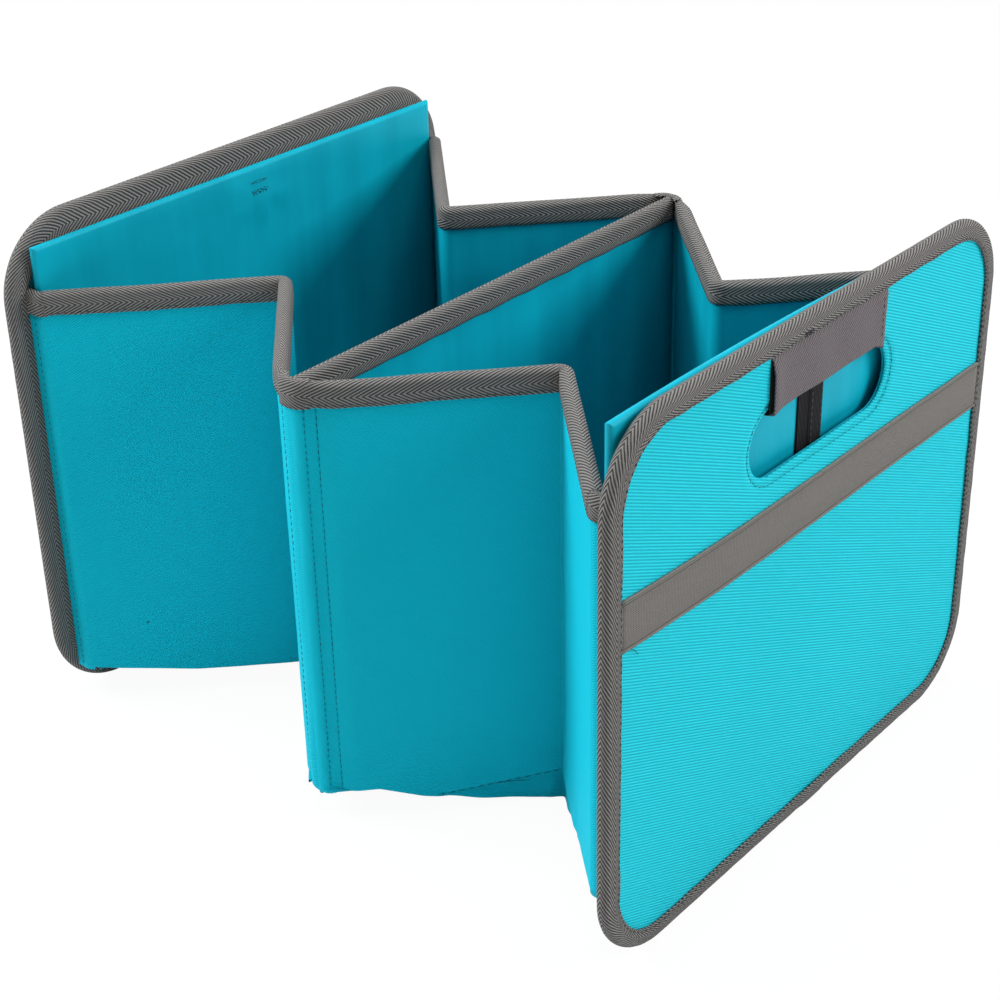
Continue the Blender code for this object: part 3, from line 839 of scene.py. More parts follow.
def end_corner_cloth(name, side, hand):
    """The outer cloth from the end's tape to round the end's hinge, under the leaf's own."""
    plan, _, run = end_corner_path(side, hand, radius=0.0059, set_in=0.0031, set_out=0.0054)
    z = np.linspace(skirt_edge(side, WALL_RUN) - 0.001, WALL_TOP - 0.011, 40)[:, None]
    points = at_heights(np.broadcast_to(plan[None], (40, len(plan), 2)), z)
    pattern = grid_of(run[None], z)
    return surface(name, points, pattern, WALL_CLOTH, facing=(0, hand, 0), thick=CORNER_THICK)


def end_corner_tape(name, side, hand):
    """The wall's tape on from the end's hinge to the end's own tape, and over the top."""
    plan, inside, run = end_corner_path(side, hand, radius=0.0071, set_in=0.0028, set_out=0.0064)
    inward = np.array([0.0, 0.0, 0.0, 0.0002, 0.0008, 0.0018, 0.0030, 0.0042, 0.0052])
    drop = np.array([0.0122, 0.0090, 0.0060, 0.0030, 0.0014, 0.0005, 0.0003, 0.0005, 0.0012])
    return tape_round(name, hand, plan, inside, -run, inward, WALL_TOP - drop)


# Pouches of lining round a flat board

def edge_steps(low, high, half, count):
    """Values from low to high, closer together where the pouch rolls over its edge."""
    turn = half * (1 - np.cos(np.linspace(0, np.pi / 2, 7)))
    middle = np.linspace(low + half, high - half, count)[1:-1]
    return np.concatenate([low + turn, middle, high - turn[::-1]])


def pouch(name, place, box, half, relief, finish):
    """A flat pouch: two faces over the same grid that meet in a rounded rim.

    Half its thickness at a distance d from the edge is half times the root of one minus
    (1 - d / half) squared, which is a quarter circle. Relief adds to each face.
    """
    low_a, high_a, low_b, high_b = box
    a = edge_steps(low_a, high_a, half, 60)
    b = edge_steps(low_b, high_b, half, 52)
    a, b = np.meshgrid(a, b, indexing="ij")
    inset = np.minimum(np.minimum(a - low_a, high_a - a), np.minimum(b - low_b, high_b - b))
    rise = half * quarter_circle(inset / half)
    calm = np.clip(inset / 0.012, 0, 1)
    faces = []
    for sign in (1, -1):
        c = sign * (rise + calm * relief(a, b, sign))
        faces.append(place(a, b, c))
    around = np.concatenate([faces[0], faces[1][:, ::-1]], 1)
    face = np.stack([a, b], -1)
    pattern = np.concatenate([face, face[:, ::-1], face[:, :1]], 1)
    piece = surface(name, around, pattern, finish, wrap_columns=True)
    rim = piece.modifiers.new("closed_rim", "WELD")
    rim.merge_threshold = 0.00001
    return piece


# End panels

def end_place(side):
    """From an end's own axes, out, across and up, to the box's."""
    return lambda out, across, up: grid_of(side * (END_X + out), side * across, up)


def stadium(grow, count=180):
    """The handle hole's outline grown by a distance, and the direction away from it."""
    radius = HOLE_HEIGHT / 2
    reach = HOLE_WIDTH / 2 - radius
    middle = HOLE_TOP - radius
    flat = np.linspace(-1, 1, count // 2)
    turn = np.linspace(-np.pi / 2, np.pi / 2, count // 2)
    right = np.stack([reach + 0 * turn, 0 * turn, np.cos(turn), np.sin(turn)], 1)
    top = np.stack([-flat * reach, 0 * flat, 0 * flat, 1 + 0 * flat], 1)
    left = np.stack([-reach + 0 * turn, 0 * turn, -np.cos(turn), -np.sin(turn)], 1)
    low = np.stack([flat * reach, 0 * flat, 0 * flat, -1 + 0 * flat], 1)
    loop = np.vstack([right, top[1:-1], left, low[1:-1]])
    centre = np.array([HANDLE_Y, middle])
    return centre + loop[:, :2] + (radius + grow) * loop[:, 2:], loop[:, 2:]


def cast(outline, centre, angles):
    """Where rays at these angles from a centre meet a closed outline round it."""
    rel = outline - centre
    bearing = np.arctan2(rel[:, 1], rel[:, 0])
    order = np.argsort(bearing)
    bearing = np.concatenate([bearing[order] - 2 * np.pi, bearing[order], bearing[order] + 2 * np.pi])
    points = np.tile(outline[order], (3, 1))
    return np.stack([np.interp(angles, bearing, points[:, i]) for i in range(2)], 1)


def end_sheet(name, side, outward, finish, relief):
    """One face of an end: rings of points from the hole's rim out to the bound edge.

    Near the hole the rings are the hole's own outline, grown. Further out they go over
    evenly to the panel's outline, met by the ray through the same point.
    """
    near = 0.0001 * np.array([0, 0, 2, 6, 12, 20, 28, 34, 40, 48, 60])
    rim = 0.0001 * np.array([-21, -17, -13, -11, -9, -8, -9, -11, -6, -3, 0])
    rings = [stadium(grow)[0] for grow in near]
    centre = np.array([HANDLE_Y, HOLE_TOP - HOLE_HEIGHT / 2])
    last = rings[-1]
    angles = np.arctan2(last[:, 1] - centre[1], last[:, 0] - centre[0])
    edge = cast(round_end(-TAPE_EDGE - 0.0003, count_side=2, count_corner=200)[0], centre, angles)
    share = np.linspace(0, 1, 44)[1:]
    rings += [last + s * (edge - last) for s in share]
    plan = np.stack(rings)
    out = np.concatenate([rim, np.zeros(len(share))])[:, None] + np.zeros(plan.shape[:2])
    bare = np.concatenate([np.zeros(len(near)), np.minimum(share * 6, 1)])[:, None]
    out = SHEET_HALF + out + bare * relief(plan[..., 0], plan[..., 1])
    sign = 1.0 if outward else -1.0
    points = end_place(side)(sign * out, plan[..., 0], plan[..., 1])
    pattern = np.concatenate([plan, plan[:, :1]], 1)
    facing = (sign * side, 0, 0)
    return surface(name, points, pattern, finish, wrap_columns=True, facing=facing, thick=CLOTH_THICK)


def end_face_relief(seed):
    """A face of an end is nearly flat, with slow swells and faint puckers."""
    def relief(a, b):
        return 0.00022 * wave_noise(a, b, seed, 0.16) + 0.00004 * wave_noise(a, b, seed + 1, 0.02)
    return relief


def round_end(grow, count_side=46, count_corner=26):
    """Stations round an end's edge: place, outward direction and run, evenly spaced."""
    side = END_WIDTH / 2 - END_CORNER
    low, high = END_CORNER, END_HEIGHT - END_CORNER
    turn = np.linspace(0, np.pi / 2, count_corner)
    share = np.linspace(0, 1, count_side)[1:-1, None]
    corners = (
        (side, low, -np.pi / 2), (side, high, 0.0), (-side, high, np.pi / 2), (-side, low, np.pi),
    )
    place, out = [], []
    for (a, b, start), (c, d, begin) in zip(corners, corners[1:] + corners[:1]):
        way = np.stack([np.cos(start + turn), np.sin(start + turn)], 1)
        arc = np.array([a, b]) + (END_CORNER + grow) * way
        way_on = np.array([np.cos(begin), np.sin(begin)])
        stop = np.array([c, d]) + (END_CORNER + grow) * way_on
        place += [arc, arc[-1] + share * (stop - arc[-1])]
        out += [way, np.tile(way_on, (len(share), 1))]
    place, out = np.vstack(place), np.vstack(out)
    return place, out, distances(np.vstack([place, place[:1]]))


def end_tape(name, side):
    """The tape bound round an end: its section carried round the outline, lapped at the bottom.

    Its outer leg is the shorter one. Along the top its inner leg reaches down to the plate.
    """
    place, out, run = round_end(0.0)
    profile, across = tape_profile(TAPE_HALF, TAPE_LEG)
    crown = TAPE_CROWN
    top = np.clip((out[:, 1] - 0.4) / 0.5, 0, 1)
    inner_leg = (TAPE_LEG + 0.0045 * top - crown) / (TAPE_LEG - crown)
    outer_leg = (END_OUTER_LEG - crown) / (TAPE_LEG - crown)
    stretch = np.where(profile[None, :, 0] > 0, outer_leg, inner_leg[:, None])
    leg = crown + (profile[None, :, 1] - crown) * np.where(profile[None, :, 1] > crown, stretch, 1.0)
    lap = ((np.abs(place[:, 0] - 0.008) < 0.0105) & (place[:, 1] < 0.01)).astype(float)
    lift = 1 + 0.16 * lap[:, None]
    seed = 50 + side
    wobble = 0.00035 * wave_noise(run[:-1, None], 40 * across[None, :-1], seed, 0.022)
    down = leg + wobble * (profile[None, :, 1] > 0.008)
    puff = 1 + 0.05 * wave_noise(run[:-1, None], 60 * across[None, :-1], seed + 1, 0.012)
    thick = profile[None, :, 0] * lift * puff
    plan = place[:, None] - down[..., None] * out[:, None]
    points = end_place(side)(thick, plan[..., 0], plan[..., 1])
    pattern = grid_of(-run[:, None], across[None])
    return surface(name, points, pattern, TAPE, wrap_rows=True, wrap_columns=True)


def hole_edge(y):
    """Height of the hole's upper edge at y, level and then round at its ends."""
    radius = HOLE_HEIGHT / 2
    past = np.maximum(np.abs(y - HANDLE_Y) - (HOLE_WIDTH / 2 - radius), 0.0)
    return HOLE_TOP - radius + np.sqrt(np.maximum(radius**2 - past**2, 0.0))


def grip_sheet(name, side, left, right, half, loose, finish):
    """Webbing round the bar above the hole: a U whose bend follows the hole's upper edge.

    Its left edge stands off the cloth by loose, and its top goes under the end's tape.
    """
    ends = 0.0004
    y = np.concatenate([
        [left, left + ends], np.linspace(left + 0.002, right - 0.002, 60), [right - ends, right],
    ])
    turn = np.linspace(0, np.pi, 13)[:, None]
    down = np.linspace(1, 0, 16)[:-1, None]
    edge = hole_edge(y)[None] - 0.0006
    z = np.vstack([
        edge + down * (GRIP_TOP + 0.0042 - edge),
        edge - 0.0011 * np.sin(turn),
        edge + down[::-1] * (GRIP_TOP - edge),
    ])
    x = np.vstack([half + 0 * down, half * np.cos(turn), -half + 0 * down]) + 0 * y[None]
    bulge = 0.00035 * wave_noise(y[None], z, 71 + side, 0.03)
    hem = 0.0003 * np.clip(1 - np.minimum(y - left, right - y) / 0.002, 0, 1)
    free = np.clip((0.2618 - z) / 0.008, 0, 1) * (x > 0)
    sink = 0.0009 * np.clip((z - 0.2606) / 0.0018, 0, 1)
    x = x * (1 + (0.0004 + bulge - hem + loose * ridge(y - left, 0.006) * free - sink) / half)
    points = end_place(side)(x, np.broadcast_to(y, z.shape), z)
    run = np.vstack([0.024 * (1 - down), 0.024 + 0.0031 * turn, 0.034 + 0.024 * (1 - down)])
    pattern = grid_of(y[None], run)
    return surface(name, points, pattern, finish, thick=CLOTH_THICK)


def zigzag(across, up, reach, swing, turns=5):
    """A zigzag line in an end's own plane: its middle, its reach to each side and its swing."""
    count = 2 * turns + 1
    return np.linspace(across - reach, across + reach, count), up + swing * (-1.0) ** np.arange(count)


def outside(line, hidden):
    """The one stretch of a closed line where hidden is false, in order."""
    first = int(np.argmax(hidden & ~np.roll(hidden, -1))) + 1
    line, hidden = np.roll(line, -first, axis=0), np.roll(hidden, -first)
    return line[~hidden]


def end_stitching(body, side):
    """All the stitch rows of an end: on its tape, face, webbing, strap and plate.

    Each has its slot, thread, height off the panel, line, and the length, gap and radius of
    its stitches. The plate's face inwards.
    """
    place = end_place(side)
    loop = stadium(0.0036)[0]
    under = (loop[:, 0] > GRIP_LEFT) & (loop[:, 0] < GRIP_RIGHT) & (loop[:, 1] > HOLE_TOP - 0.010)
    edge, hole = round_end(-END_OUTER_LEG + 0.0011)[0].T, outside(loop, under).T
    grip_up = np.linspace(HOLE_TOP + 0.0020, GRIP_TOP, 12)
    left_seam, right_seam = (GRIP_LEFT + 0.0055, grip_up), (GRIP_RIGHT - 0.0034, grip_up)
    strap_up = np.linspace(STRAP_BOTTOM + 0.002, STRAP_TOP - 0.002, 12)
    plate_out = PLATE_MIDDLE - SHEET_HALF - 0.0013
    fine, seam, tack = (0.0029, 0.0005, 0.00021), (0.0030, 0.0003, 0.00022), (0.0014, 0.0003, 0.00032)
    grip_tack = zigzag(-0.0172, 0.2640, 0.0034, 0.0010)
    upper_tack = zigzag(TACK_ACROSS, 0.2511, 0.0056, 0.0008)
    lower_tack = zigzag(TACK_ACROSS, 0.2455, 0.0056, 0.0015)
    for word, slot, thread, out, (a, b), look in (
        ("tape_stitches", "binding_tape", DARK_THREAD, 0.0039, edge, ()),
        ("hole_stitches", "woven_cloth", DARK_THREAD, 0.0022, hole, fine),
        ("grip_left_stitches", "grip_webbing", DARK_THREAD, 0.0037, left_seam, fine),
        ("grip_right_stitches", "grip_webbing", DARK_THREAD, 0.0037, right_seam, fine),
        ("grip_tack", "grip_webbing", DARK_THREAD, 0.0039, grip_tack, (0.0012, 0.0002, 0.0004)),
        ("strap_edge_0", "strap", PALE_THREAD, -0.0035, (HANDLE_Y + 0.0009, strap_up), seam),
        ("strap_edge_1", "strap", PALE_THREAD, -0.0035, (HANDLE_Y + 0.0088, strap_up), seam),
        ("plate_tack_0", "satin_lining", DARK_THREAD, plate_out, upper_tack, tack),
        ("plate_tack_1", "satin_lining", DARK_THREAD, plate_out, lower_tack, tack),
    ):
        facing = -side if slot == "satin_lining" else side
        row = stitches(f"{body}_{word}", place(out, a, b), (facing, 0, 0), thread, *look)
        dress(row, body)


def band_sheet(name, side):
    """The elastic band: a flat strip with rolled edges, which climbs at one end."""
    y = np.linspace(-0.1508, 0.1508, 90)
    rim_b = np.array([0.0, 0.0, 0.0003, 0.0009, 0.0014, 0.0019, 0.0026])
    rim_x = np.array([0.0022, 0.0030, 0.0037, 0.0038, 0.0036, 0.0029, 0.0034])
    width = BAND_TOP - BAND_BOTTOM
    b = np.concatenate([rim_b, [width / 2], width - rim_b[::-1]])
    x = np.concatenate([rim_x, [0.0034], rim_x[::-1]])
    climb = 0.0040 * np.clip(-(y + 0.06) / 0.09, 0, 1) ** 1.5
    sag = 0.0003 * wave_noise(y, 0 * y, 81 + side, 0.2) + climb
    up = BAND_BOTTOM + b[:, None] + sag[None]
    puff = 0.00015 * wave_noise(y[None], up, 83 + side, 0.03)
    points = end_place(side)(x[:, None] + puff, np.broadcast_to(y, up.shape), up)
    pattern = grid_of(y[None], b[:, None])
    return surface(name, points, pattern, ELASTIC, facing=(side, 0, 0), thick=THIN)


def plate_relief(side):
    """A base plate's cover: long soft waves, and the pull of the tack near its top edge."""
    def relief(a, b, sign):
        soft = 0.00045 * wave_noise(a, b, 90 + side, 0.09) + 0.00012 * wave_noise(a, b, 92 + side, 0.02)
        if sign > 0:
            return soft * 0.4
        da, db = a - TACK_ACROSS, b - 0.2485
        far = np.hypot(da, db)
        spokes = np.sin(np.arctan2(db, da) * 7 + 1.0)
        pull = 0.0007 * (1 + spokes) * ridge(far - 0.011, 0.008) + 0.0004 * ridge(far, 0.014)
        below = np.clip(-db / 0.012, 0, 1) * np.exp(np.minimum(db, 0) / 0.030)
        hanging = 0.0008 * (1 + np.cos(da * 420 + 0.6)) * ridge(da, 0.022) * below
        return np.maximum(soft, -0.0002) + pull + hanging
    return relief


def flange(name, side, hand):
    """The lining's turned edge beside the base plate, a strip from the panel to its hinge."""
    out = np.linspace(-0.0020, -0.0090, 6)
    z = np.linspace(0.040, 0.2239, 24)
    ease = 0.0002 * wave_noise(z, 0 * z, 95 + hand, 0.05)
    across = hand * side * (0.1473 + ease)
    points = end_place(side)(out[:, None], across[None], z[None])
    pattern = grid_of(-out[:, None], z[None])
    return surface(name, points, pattern, SATIN, facing=(0, hand, 0), thick=CORNER_THICK)


def strap_sheet(name, side):
    """The pull strap: a wide layer of webbing with a narrower one on it, hemmed at the bottom."""
    z = np.linspace(STRAP_BOTTOM, STRAP_TOP, 40)
    across = 0.0001 * np.array([-100, -100, -92, -16, -10, -6, 0, 90, 96, 100, 100])
    rise = 0.0001 * np.array([0, 6, 7, 7, 9, 14, 15, 15, 14, 9, 0])
    hem = 0.0003 * np.clip((STRAP_BOTTOM + 0.018 - z) / 0.001, 0, 1)
    out = -0.0050 + rise[None] + hem[:, None] * (rise[None] > 0)
    across, z = np.broadcast_arrays(across[None], z[:, None])
    points = end_place(side)(out, HANDLE_Y + across, z)
    pattern = np.stack([across, z], -1)
    return surface(name, points, pattern, STRAP_AND_GAP_SHADE, facing=(side, 0, 0), thick=STRAP_THICK)


# Traces of use

def loose_thread():
    """A sewing thread's loose end that hangs from under the front band, in a slack curve."""
    share = np.linspace(0, 1, 9)
    across = -0.1442 + 0.0058 * share
    up = BAND_BOTTOM + 0.0034 - 0.0052 * share + 0.0009 * np.sin(3.4 * share)
    line = end_place(1)(0.0029 + 0.0002 * share, across, up)
    row = stitches("front_end_loose_thread", line, (1, 0, 0), DARK_THREAD, length=0.0012, gap=-0.0002)
    dress(row, "front_end")


def dirt_spot():
    """A fleck of dried dirt on a rear leaf: a low dome of three rings and its middle."""
    origins, inwards, _ = leaf_stations(-1, -1, "end", [0.0315])
    turn = np.linspace(0, 2 * np.pi, 16, endpoint=False)
    reach = np.array([0.00075, 0.00058, 0.00035, 0.00002])[:, None] * (1 + 0.25 * np.sin(2 * turn + 1))
    rise = np.array([-0.0001, 0.0001, 0.00018, 0.00022])[:, None] + 0 * reach
    along = np.array([-inwards[0][1], inwards[0][0]])
    plan = origins[0] + (OUTER_SKIN - rise)[..., None] * inwards[0]
    plan += (reach * np.cos(turn))[..., None] * along
    points = at_heights(plan, 0.0455 + reach * np.sin(turn))
    pattern = np.concatenate([points[..., 1:], points[:, :1, 1:]], 1)
    spot = surface(
        "rear_left_dirt_spot", points, pattern, BLUE_THREAD_AND_SHADE, wrap_columns=True, facing=(0, -1, 0)
    )
    dress(spot, "rear_left_end_leaf")


# Floor cloth

def floor_cloth(name, side):
    """A compartment's floor, folded up over its ridge: two leaves in the X and Z plane.

    Each leaf is straight from its hinge, and the turn between them goes about the ridge.
    Its width falls by one for each unit along, which is where the corner gussets start.
    """
    mid = even(-0.001, LEAF_LENGTH, 30)
    end = even(LEAF_LENGTH, -0.0011, 30)
    origins, ups, _ = folded_line(side, 1, FLOOR_Z, mid, FOLD_STEPS, end)
    turns = np.linspace(-FOLD, FOLD, FOLD_STEPS + 2)[1:-1]
    run = np.concatenate([
        mid, LEAF_LENGTH + RIDGE_RADIUS * (turns + FOLD), 2 * LEAF_LENGTH + RIDGE_ARC - end,
    ])
    reach = np.concatenate([mid, np.full(len(turns), LEAF_LENGTH), end])
    width = HINGE_Y - 0.003 - np.clip(reach, 0, LEAF_LENGTH)
    y = width[:, None] * np.linspace(-1, 1, 40)[None]
    depth = LEAF_STEP - 0.0002 + 0.0002 * wave_noise(run[:, None], y, 61 + side, 0.05)
    xz = origins[:, None] + depth[..., None] * ups[:, None]
    points = np.stack([xz[..., 0], y, xz[..., 1]], -1)
    pattern = grid_of(run[:, None], y)
    piece = surface(name, points, pattern, SATIN, facing=(0, 0, 1), thick=CORNER_THICK)
    ridge_z = FLOOR_Z + LEAF_PITCH * math.sin(REST_FOLD)
    return piece, *((side * x, 0, ridge_z) for x in RIDGE_STRIP)


def gusset(name, side, word, hand, leaf):
    """A corner's triangle of lining between a floor leaf's slanted edge and the wall's foot.

    It is ruled from one edge to the other, and hangs slack by a sine across it. It rides on
    the floor leaf.
    """
    cos, sin = math.cos(FOLD), math.sin(FOLD)
    along = np.linspace(0.004, LEAF_LENGTH, 28)
    origins, inwards, run = leaf_stations(side, hand, leaf, along)
    foot_z = np.maximum(skirt_edge(side, run) + 0.0006, WALL_BOTTOM) + 0.003
    foot = at_heights(origins + (INNER_SKIN - 0.0002) * inwards, foot_z)
    way, hinge = (side, side * DIVIDER_HINGE) if leaf == "mid" else (-side, side * END_HINGE)
    up = np.array([-way * sin, 0.0, cos])
    slanted = np.column_stack([
        hinge + along * way * cos, hand * (HINGE_Y - 0.0034 - along), FLOOR_Z + along * sin,
    ]) - 0.0008 * up
    share = np.linspace(0, 1, 16)[:, None]
    ripple = 1 + 0.5 * wave_noise(along * 1.5, 0.05 * share, 17 + side + hand, 0.05)
    slack = 0.030 * np.sin(np.pi * share) * np.linalg.norm(foot - slanted, axis=1) * ripple
    down = np.cross(foot[-1] - slanted[0], slanted[-1] - slanted[0])
    down /= np.linalg.norm(down) * math.copysign(1.0, -down[2])
    points = slanted + share[..., None] * (foot - slanted) + slack[..., None] * down
    pattern = grid_of(along, 0.06 * share)
    piece = surface(
        f"{name}_{word}_{leaf}_gusset", points, pattern, SATIN, facing=(0, 0, 1), thick=THIN
    )
    dress(piece, f"{name}_floor_{leaf}")
    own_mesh(piece)


# Making the box

def make_wall(name, side, word, hand):
    wall = f"{name}_{word}"
    bend = fold_bend(name, side, hand, word)
    leaves = (f"{wall}_mid_leaf", f"{wall}_end_leaf")
    seed = 11 * (2 + side) + 5 * (2 + hand)
    outer = outer_cloth(wall + "_outer_cloth", side, hand, seed)
    dress(outer, bend=bend, replaces=[leaf + "_cover" for leaf in leaves])
    dress(wall_lining(wall + "_lining", side, hand, seed + 3), bend=bend)
    for leaf, kind in zip(leaves, ("mid", "end")):
        board = leaf_board(leaf + "_stiff_board", side, hand, kind)
        dress(board, leaf, replaces=(leaf + "_board",))
    tape = wall_tape(wall + "_top_tape", side, hand)
    dress(tape, bend=bend, replaces=[leaf + "_binding" for leaf in leaves])
    wall_stitching(wall, side, hand, bend, name + "_end")
    nose = nose_bend(name, side, hand, word)
    dress(corner_cloth(wall + "_nose_cloth", side, hand), bend=nose)
    dress(corner_tape(wall + "_nose_tape", side, hand), bend=nose)


def wall_stitching(wall, side, hand, bend, end_body):
    """Rows along a wall's tape and upright where its cloth is tucked, and along a front wall's crease a
    near-continuous dark thread as painted shade.
    """
    mid = even(0.002, LEAF_LENGTH, 30)
    end = even(LEAF_LENGTH, 0.001, 30)
    below_tape = WALL_TOP - 0.0125
    for part, depth in (("outer", MIDDLE - TAPE_HALF - 0.0002), ("inner", MIDDLE + TAPE_HALF + 0.0002)):
        line, lift = wall_line(side, hand, depth, lambda run: STITCH_ROW + 0 * run, mid, end)
        row = stitches(f"{wall}_{part}_tape_stitches", line, lift, DARK_THREAD)
        dress(row, bend=bend)
    for number, (at, depth) in enumerate(zip(TUCK_ROWS, (OUTER_SKIN - 0.0004, OUTER_SKIN + 0.0002))):
        line, lift = upright_line(side, hand, depth, at, low=0.018, high=below_tape)
        row = stitches(
            f"{wall}_tuck_stitches_{number}", line, lift, BLUE_THREAD_AND_SHADE,
            length=0.0028, gap=0.0006, radius=0.0002,
        )
        dress(row, f"{wall}_mid_leaf")
    if side > 0:
        # Painted shade: a near-continuous dark blue thread along the crease stands in for its shadow
        # line.
        crease = even(0.053, LEAF_LENGTH, 30)
        line, lift = wall_line(
            side, hand, OUTER_SKIN - 0.0002, lambda run: crease_edge(side, run) - 0.0005,
            mid=crease, end=[], fold_steps=0,
        )
        row = stitches(
            f"{wall}_crease_shade_line", line, lift, BLUE_THREAD_AND_SHADE, length=0.0045, gap=0.0001, radius=0.0003
        )
        dress(row, f"{wall}_mid_leaf")
    else:
        z = np.linspace(0.020, below_tape, 60)
        line = grid_of(side * (END_X - 0.0082), hand * (HINGE_Y + 0.0060), z)
        row = stitches(f"{wall}_end_seam_stitches", line, (0, hand, 0), DARK_THREAD, radius=0.0002)
        dress(row, end_body)


def make_end(name, side):
    place = end_place(side)
    body = name + "_end"
    cloth = end_sheet(body + "_face_cloth", side, True, END_CLOTH_PAINTED_LIT, end_face_relief(60 + side))
    dress(cloth, body, replaces=(body + "_outer_cloth",))
    lining = end_sheet(body + "_back_lining", side, False, SATIN, end_face_relief(64 + side))
    dress(lining, body, replaces=(body + "_lining",))
    dress(end_tape(body + "_edge_tape", side), body, replaces=(body + "_binding",))
    dress(band_sheet(body + "_band", side), body, replaces=(body + "_elastic_band",))
    grip = grip_sheet(
        body + "_handle_webbing", side, GRIP_LEFT, GRIP_RIGHT, half=0.0031, loose=0.0017, finish=WEBBING
    )
    dress(grip, body, replaces=(body + "_grip",))
    # Painted shade: a black sheet under the webbing darkens the gap below its lifted left edge.
    under = grip_sheet(
        body + "_grip_gap_shade", side, GRIP_LEFT - 0.0003, GRIP_RIGHT - 0.004,
        half=0.0023, loose=0.0002, finish=STRAP_AND_GAP_SHADE,
    )
    dress(under, body)
    dress(strap_sheet(body + "_strap", side), body, replaces=(body + "_pull_strap",))
    box = (-PLATE_HALF, PLATE_HALF, PLATE_BOTTOM, PLATE_TOP)

    def pushed_up(a, b, c):
        share = np.clip((b - 0.20) / (PLATE_TOP - 0.20), 0, 1)
        fall = 1 - ((a - SLIP_PEAK) / (PLATE_HALF - SLIP_PEAK)) ** 2
        slip = PLATE_SLIP * fall if side > 0 else 0.0
        return place(PLATE_MIDDLE + c, a, b + share * slip)

    plate = pouch(body + "_plate_cover", pushed_up, box, SHEET_HALF, plate_relief(side), SATIN)
    dress(plate, body, replaces=(body + "_base_plate_cover",))
    for word, hand in (("left", -1), ("right", 1)):
        dress(flange(f"{body}_{word}_flange", side, hand), body)
        dress(end_corner_cloth(f"{body}_{word}_corner_cloth", side, hand), body)
        dress(end_corner_tape(f"{body}_{word}_corner_tape", side, hand), body)
    end_stitching(body, side)


def make_divider():
    box = (-DIVIDER_HALF, DIVIDER_HALF, WALL_BOTTOM, WALL_TOP - 0.0021)
    cover = pouch(
        "divider_lining", lambda a, b, c: np.stack([c, a, b], -1), box, SHEET_HALF,
        lambda a, b, sign: 0.0004 * wave_noise(a, b, 40 + sign, 0.08), SATIN,
    )
    dress(cover, "divider", replaces=("divider_cover",))
    y = np.linspace(-DIVIDER_HALF, DIVIDER_HALF, 60)
    profile, across = tape_profile(TAPE_HALF, TAPE_LEG)
    wobble = 0.0003 * wave_noise(y[:, None], 40 * across[None, :-1], 44, 0.02)
    down = profile[None, :, 1] + wobble * (profile[None, :, 1] > 0.008)
    points = grid_of(profile[None, :, 0], y[:, None], WALL_TOP - down)
    pattern = grid_of(-y[:, None], across[None])
    tape = surface("divider_top_tape", points, pattern, TAPE, wrap_columns=True, caps=True)
    dress(tape, "divider", replaces=("divider_binding",))


def make_box():
    make_divider()
    for name, side in (("front", 1), ("rear", -1)):
        for word, hand in (("left", -1), ("right", 1)):
            make_wall(name, side, word, hand)
            for leaf in ("mid", "end"):
                gusset(name, side, word, hand, leaf)
        make_end(name, side)
        floor, start, stop = floor_cloth(name + "_floor_cloth", side)
        leaves = (f"{name}_floor_mid", f"{name}_floor_end")
        dress(floor, bend=(*leaves, start, stop), replaces=leaves)
    loose_thread()
    dirt_spot()
    for node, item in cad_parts.items():
        if node.endswith("_board"):
            item.data.materials.clear()
            item.data.materials.append(BOARD)


# Floor, light and camera

def lamp(name, place, size, power, colour=(1.0, 1.0, 1.0)):
    """A soft lamp aimed at the middle of the box."""
    data = bpy.data.lights.new(name, "AREA")
    data.energy = power
    data.size = size
    data.color = colour
    item = add_object(name, data)
    item.location = place
    item.rotation_mode = "QUATERNION"
    item.rotation_quaternion = (Vector(place) - Vector((0, 0, 0.12))).to_track_quat("Z", "Y")


def seen_directly(tree):
    """One for camera, glossy and transmission rays, else nought."""
    path = add_node(tree, "ShaderNodeLightPath")
    either = reckon(tree, "MAXIMUM", path.outputs["Is Camera Ray"], path.outputs["Is Glossy Ray"])
    return reckon(tree, "MAXIMUM", either, path.outputs["Is Transmission Ray"])


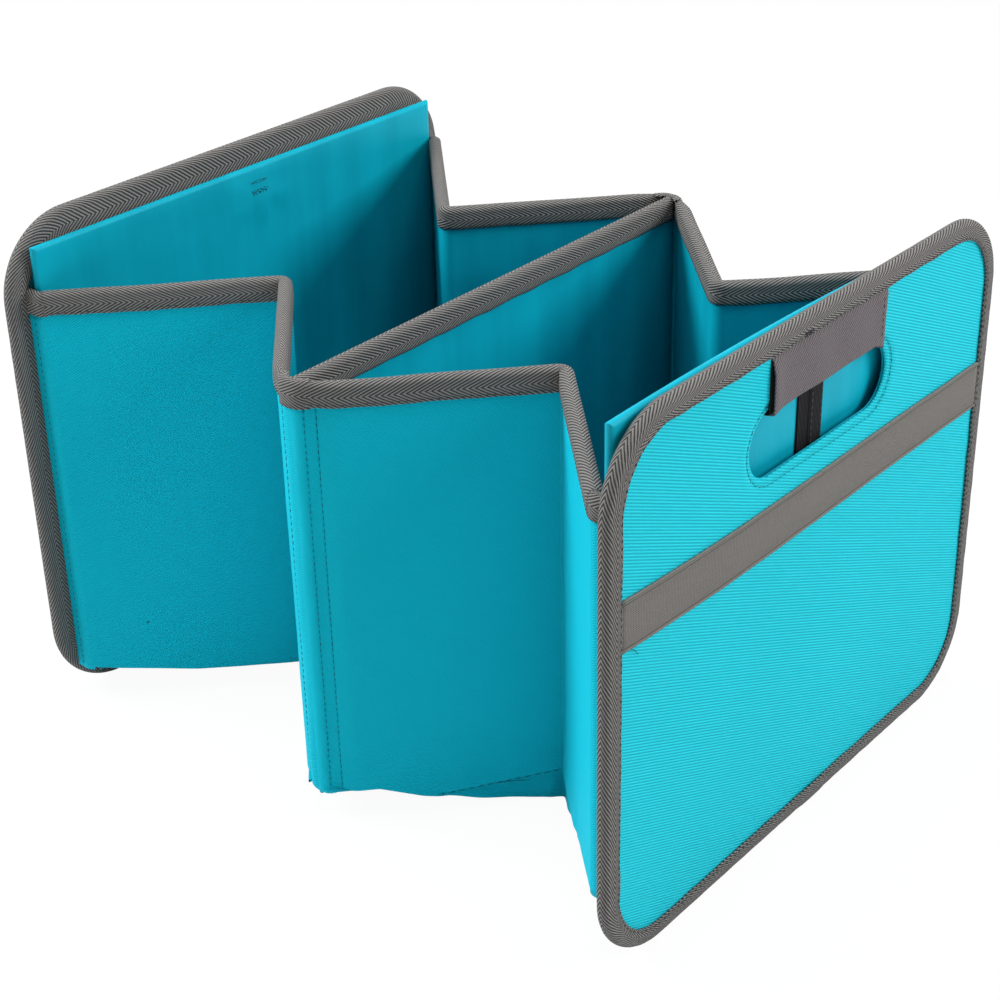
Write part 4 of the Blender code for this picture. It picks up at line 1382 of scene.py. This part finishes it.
def make_studio():
    world = bpy.data.worlds.new("studio")
    bpy.context.scene.world = world
    world.use_nodes = True
    tree = world.node_tree
    back = tree.nodes["Background"]
    back.inputs[0].default_value = (1.0, 1.0, 1.0, 1.0)
    strength = reckon(tree, "MULTIPLY_ADD", seen_directly(tree), 0.73, 0.27)
    tree.links.new(strength, back.inputs[1])

    mesh = bpy.data.meshes.new("floor")
    mesh.from_pydata([(-6, -6, 0), (6, -6, 0), (6, 6, 0), (-6, 6, 0)], [], [(0, 1, 2, 3)])
    floor = add_object("floor", mesh)
    pale = bpy.data.materials.new("pale_floor")
    pale.use_nodes = True
    tree = pale.node_tree
    shader = tree.nodes["Principled BSDF"]
    shader.inputs["Base Color"].default_value = (0.82, 0.82, 0.82, 1.0)
    shader.inputs["Roughness"].default_value = 0.9
    glow = add_node(tree, "ShaderNodeEmission", {"Color": (1.0, 1.0, 1.0, 1.0), "Strength": 1.0})
    share = reckon(tree, "MULTIPLY", seen_directly(tree), 0.95)
    both = add_node(tree, "ShaderNodeMixShader", {0: share, 1: shader.outputs[0], 2: glow.outputs[0]})
    tree.links.new(both.outputs[0], tree.nodes["Material Output"].inputs[0])
    mesh.materials.append(pale)

    lamp("key_right", (1.5, 1.0, 1.20), 0.9, 34.0)
    lamp("key_left", (-1.4, -0.9, 1.35), 0.9, 47.0, (0.95, 0.99, 1.0))
    lamp("overhead", (0.05, 0.05, 1.9), 1.2, 25.0)


def make_camera():
    """A long lens at the photograph's place, from its fitted bearing, height and roll."""
    azimuth, elevation, roll = (math.radians(v) for v in (40.0395, 28.4689, -1.3579))
    back = Vector((
        math.sin(azimuth) * math.cos(elevation),
        -math.cos(azimuth) * math.cos(elevation),
        math.sin(elevation),
    ))
    level = Vector((math.cos(azimuth), math.sin(azimuth), 0.0))
    upright = back.cross(level)
    right = level * math.cos(roll) + upright * math.sin(roll)
    up = upright * math.cos(roll) - level * math.sin(roll)
    data = bpy.data.cameras.new("camera")
    data.lens = 72.636
    data.sensor_width = 36.0
    camera = add_object("camera", data)
    turn = Matrix((right, up, back)).transposed()
    camera.matrix_world = Matrix.Translation((0.5934, -0.7097, 0.6156)) @ turn.to_4x4()
    bpy.context.scene.camera = camera


make_camera()
make_studio()
make_box()
bpy.context.scene.view_settings.view_transform = "Standard"
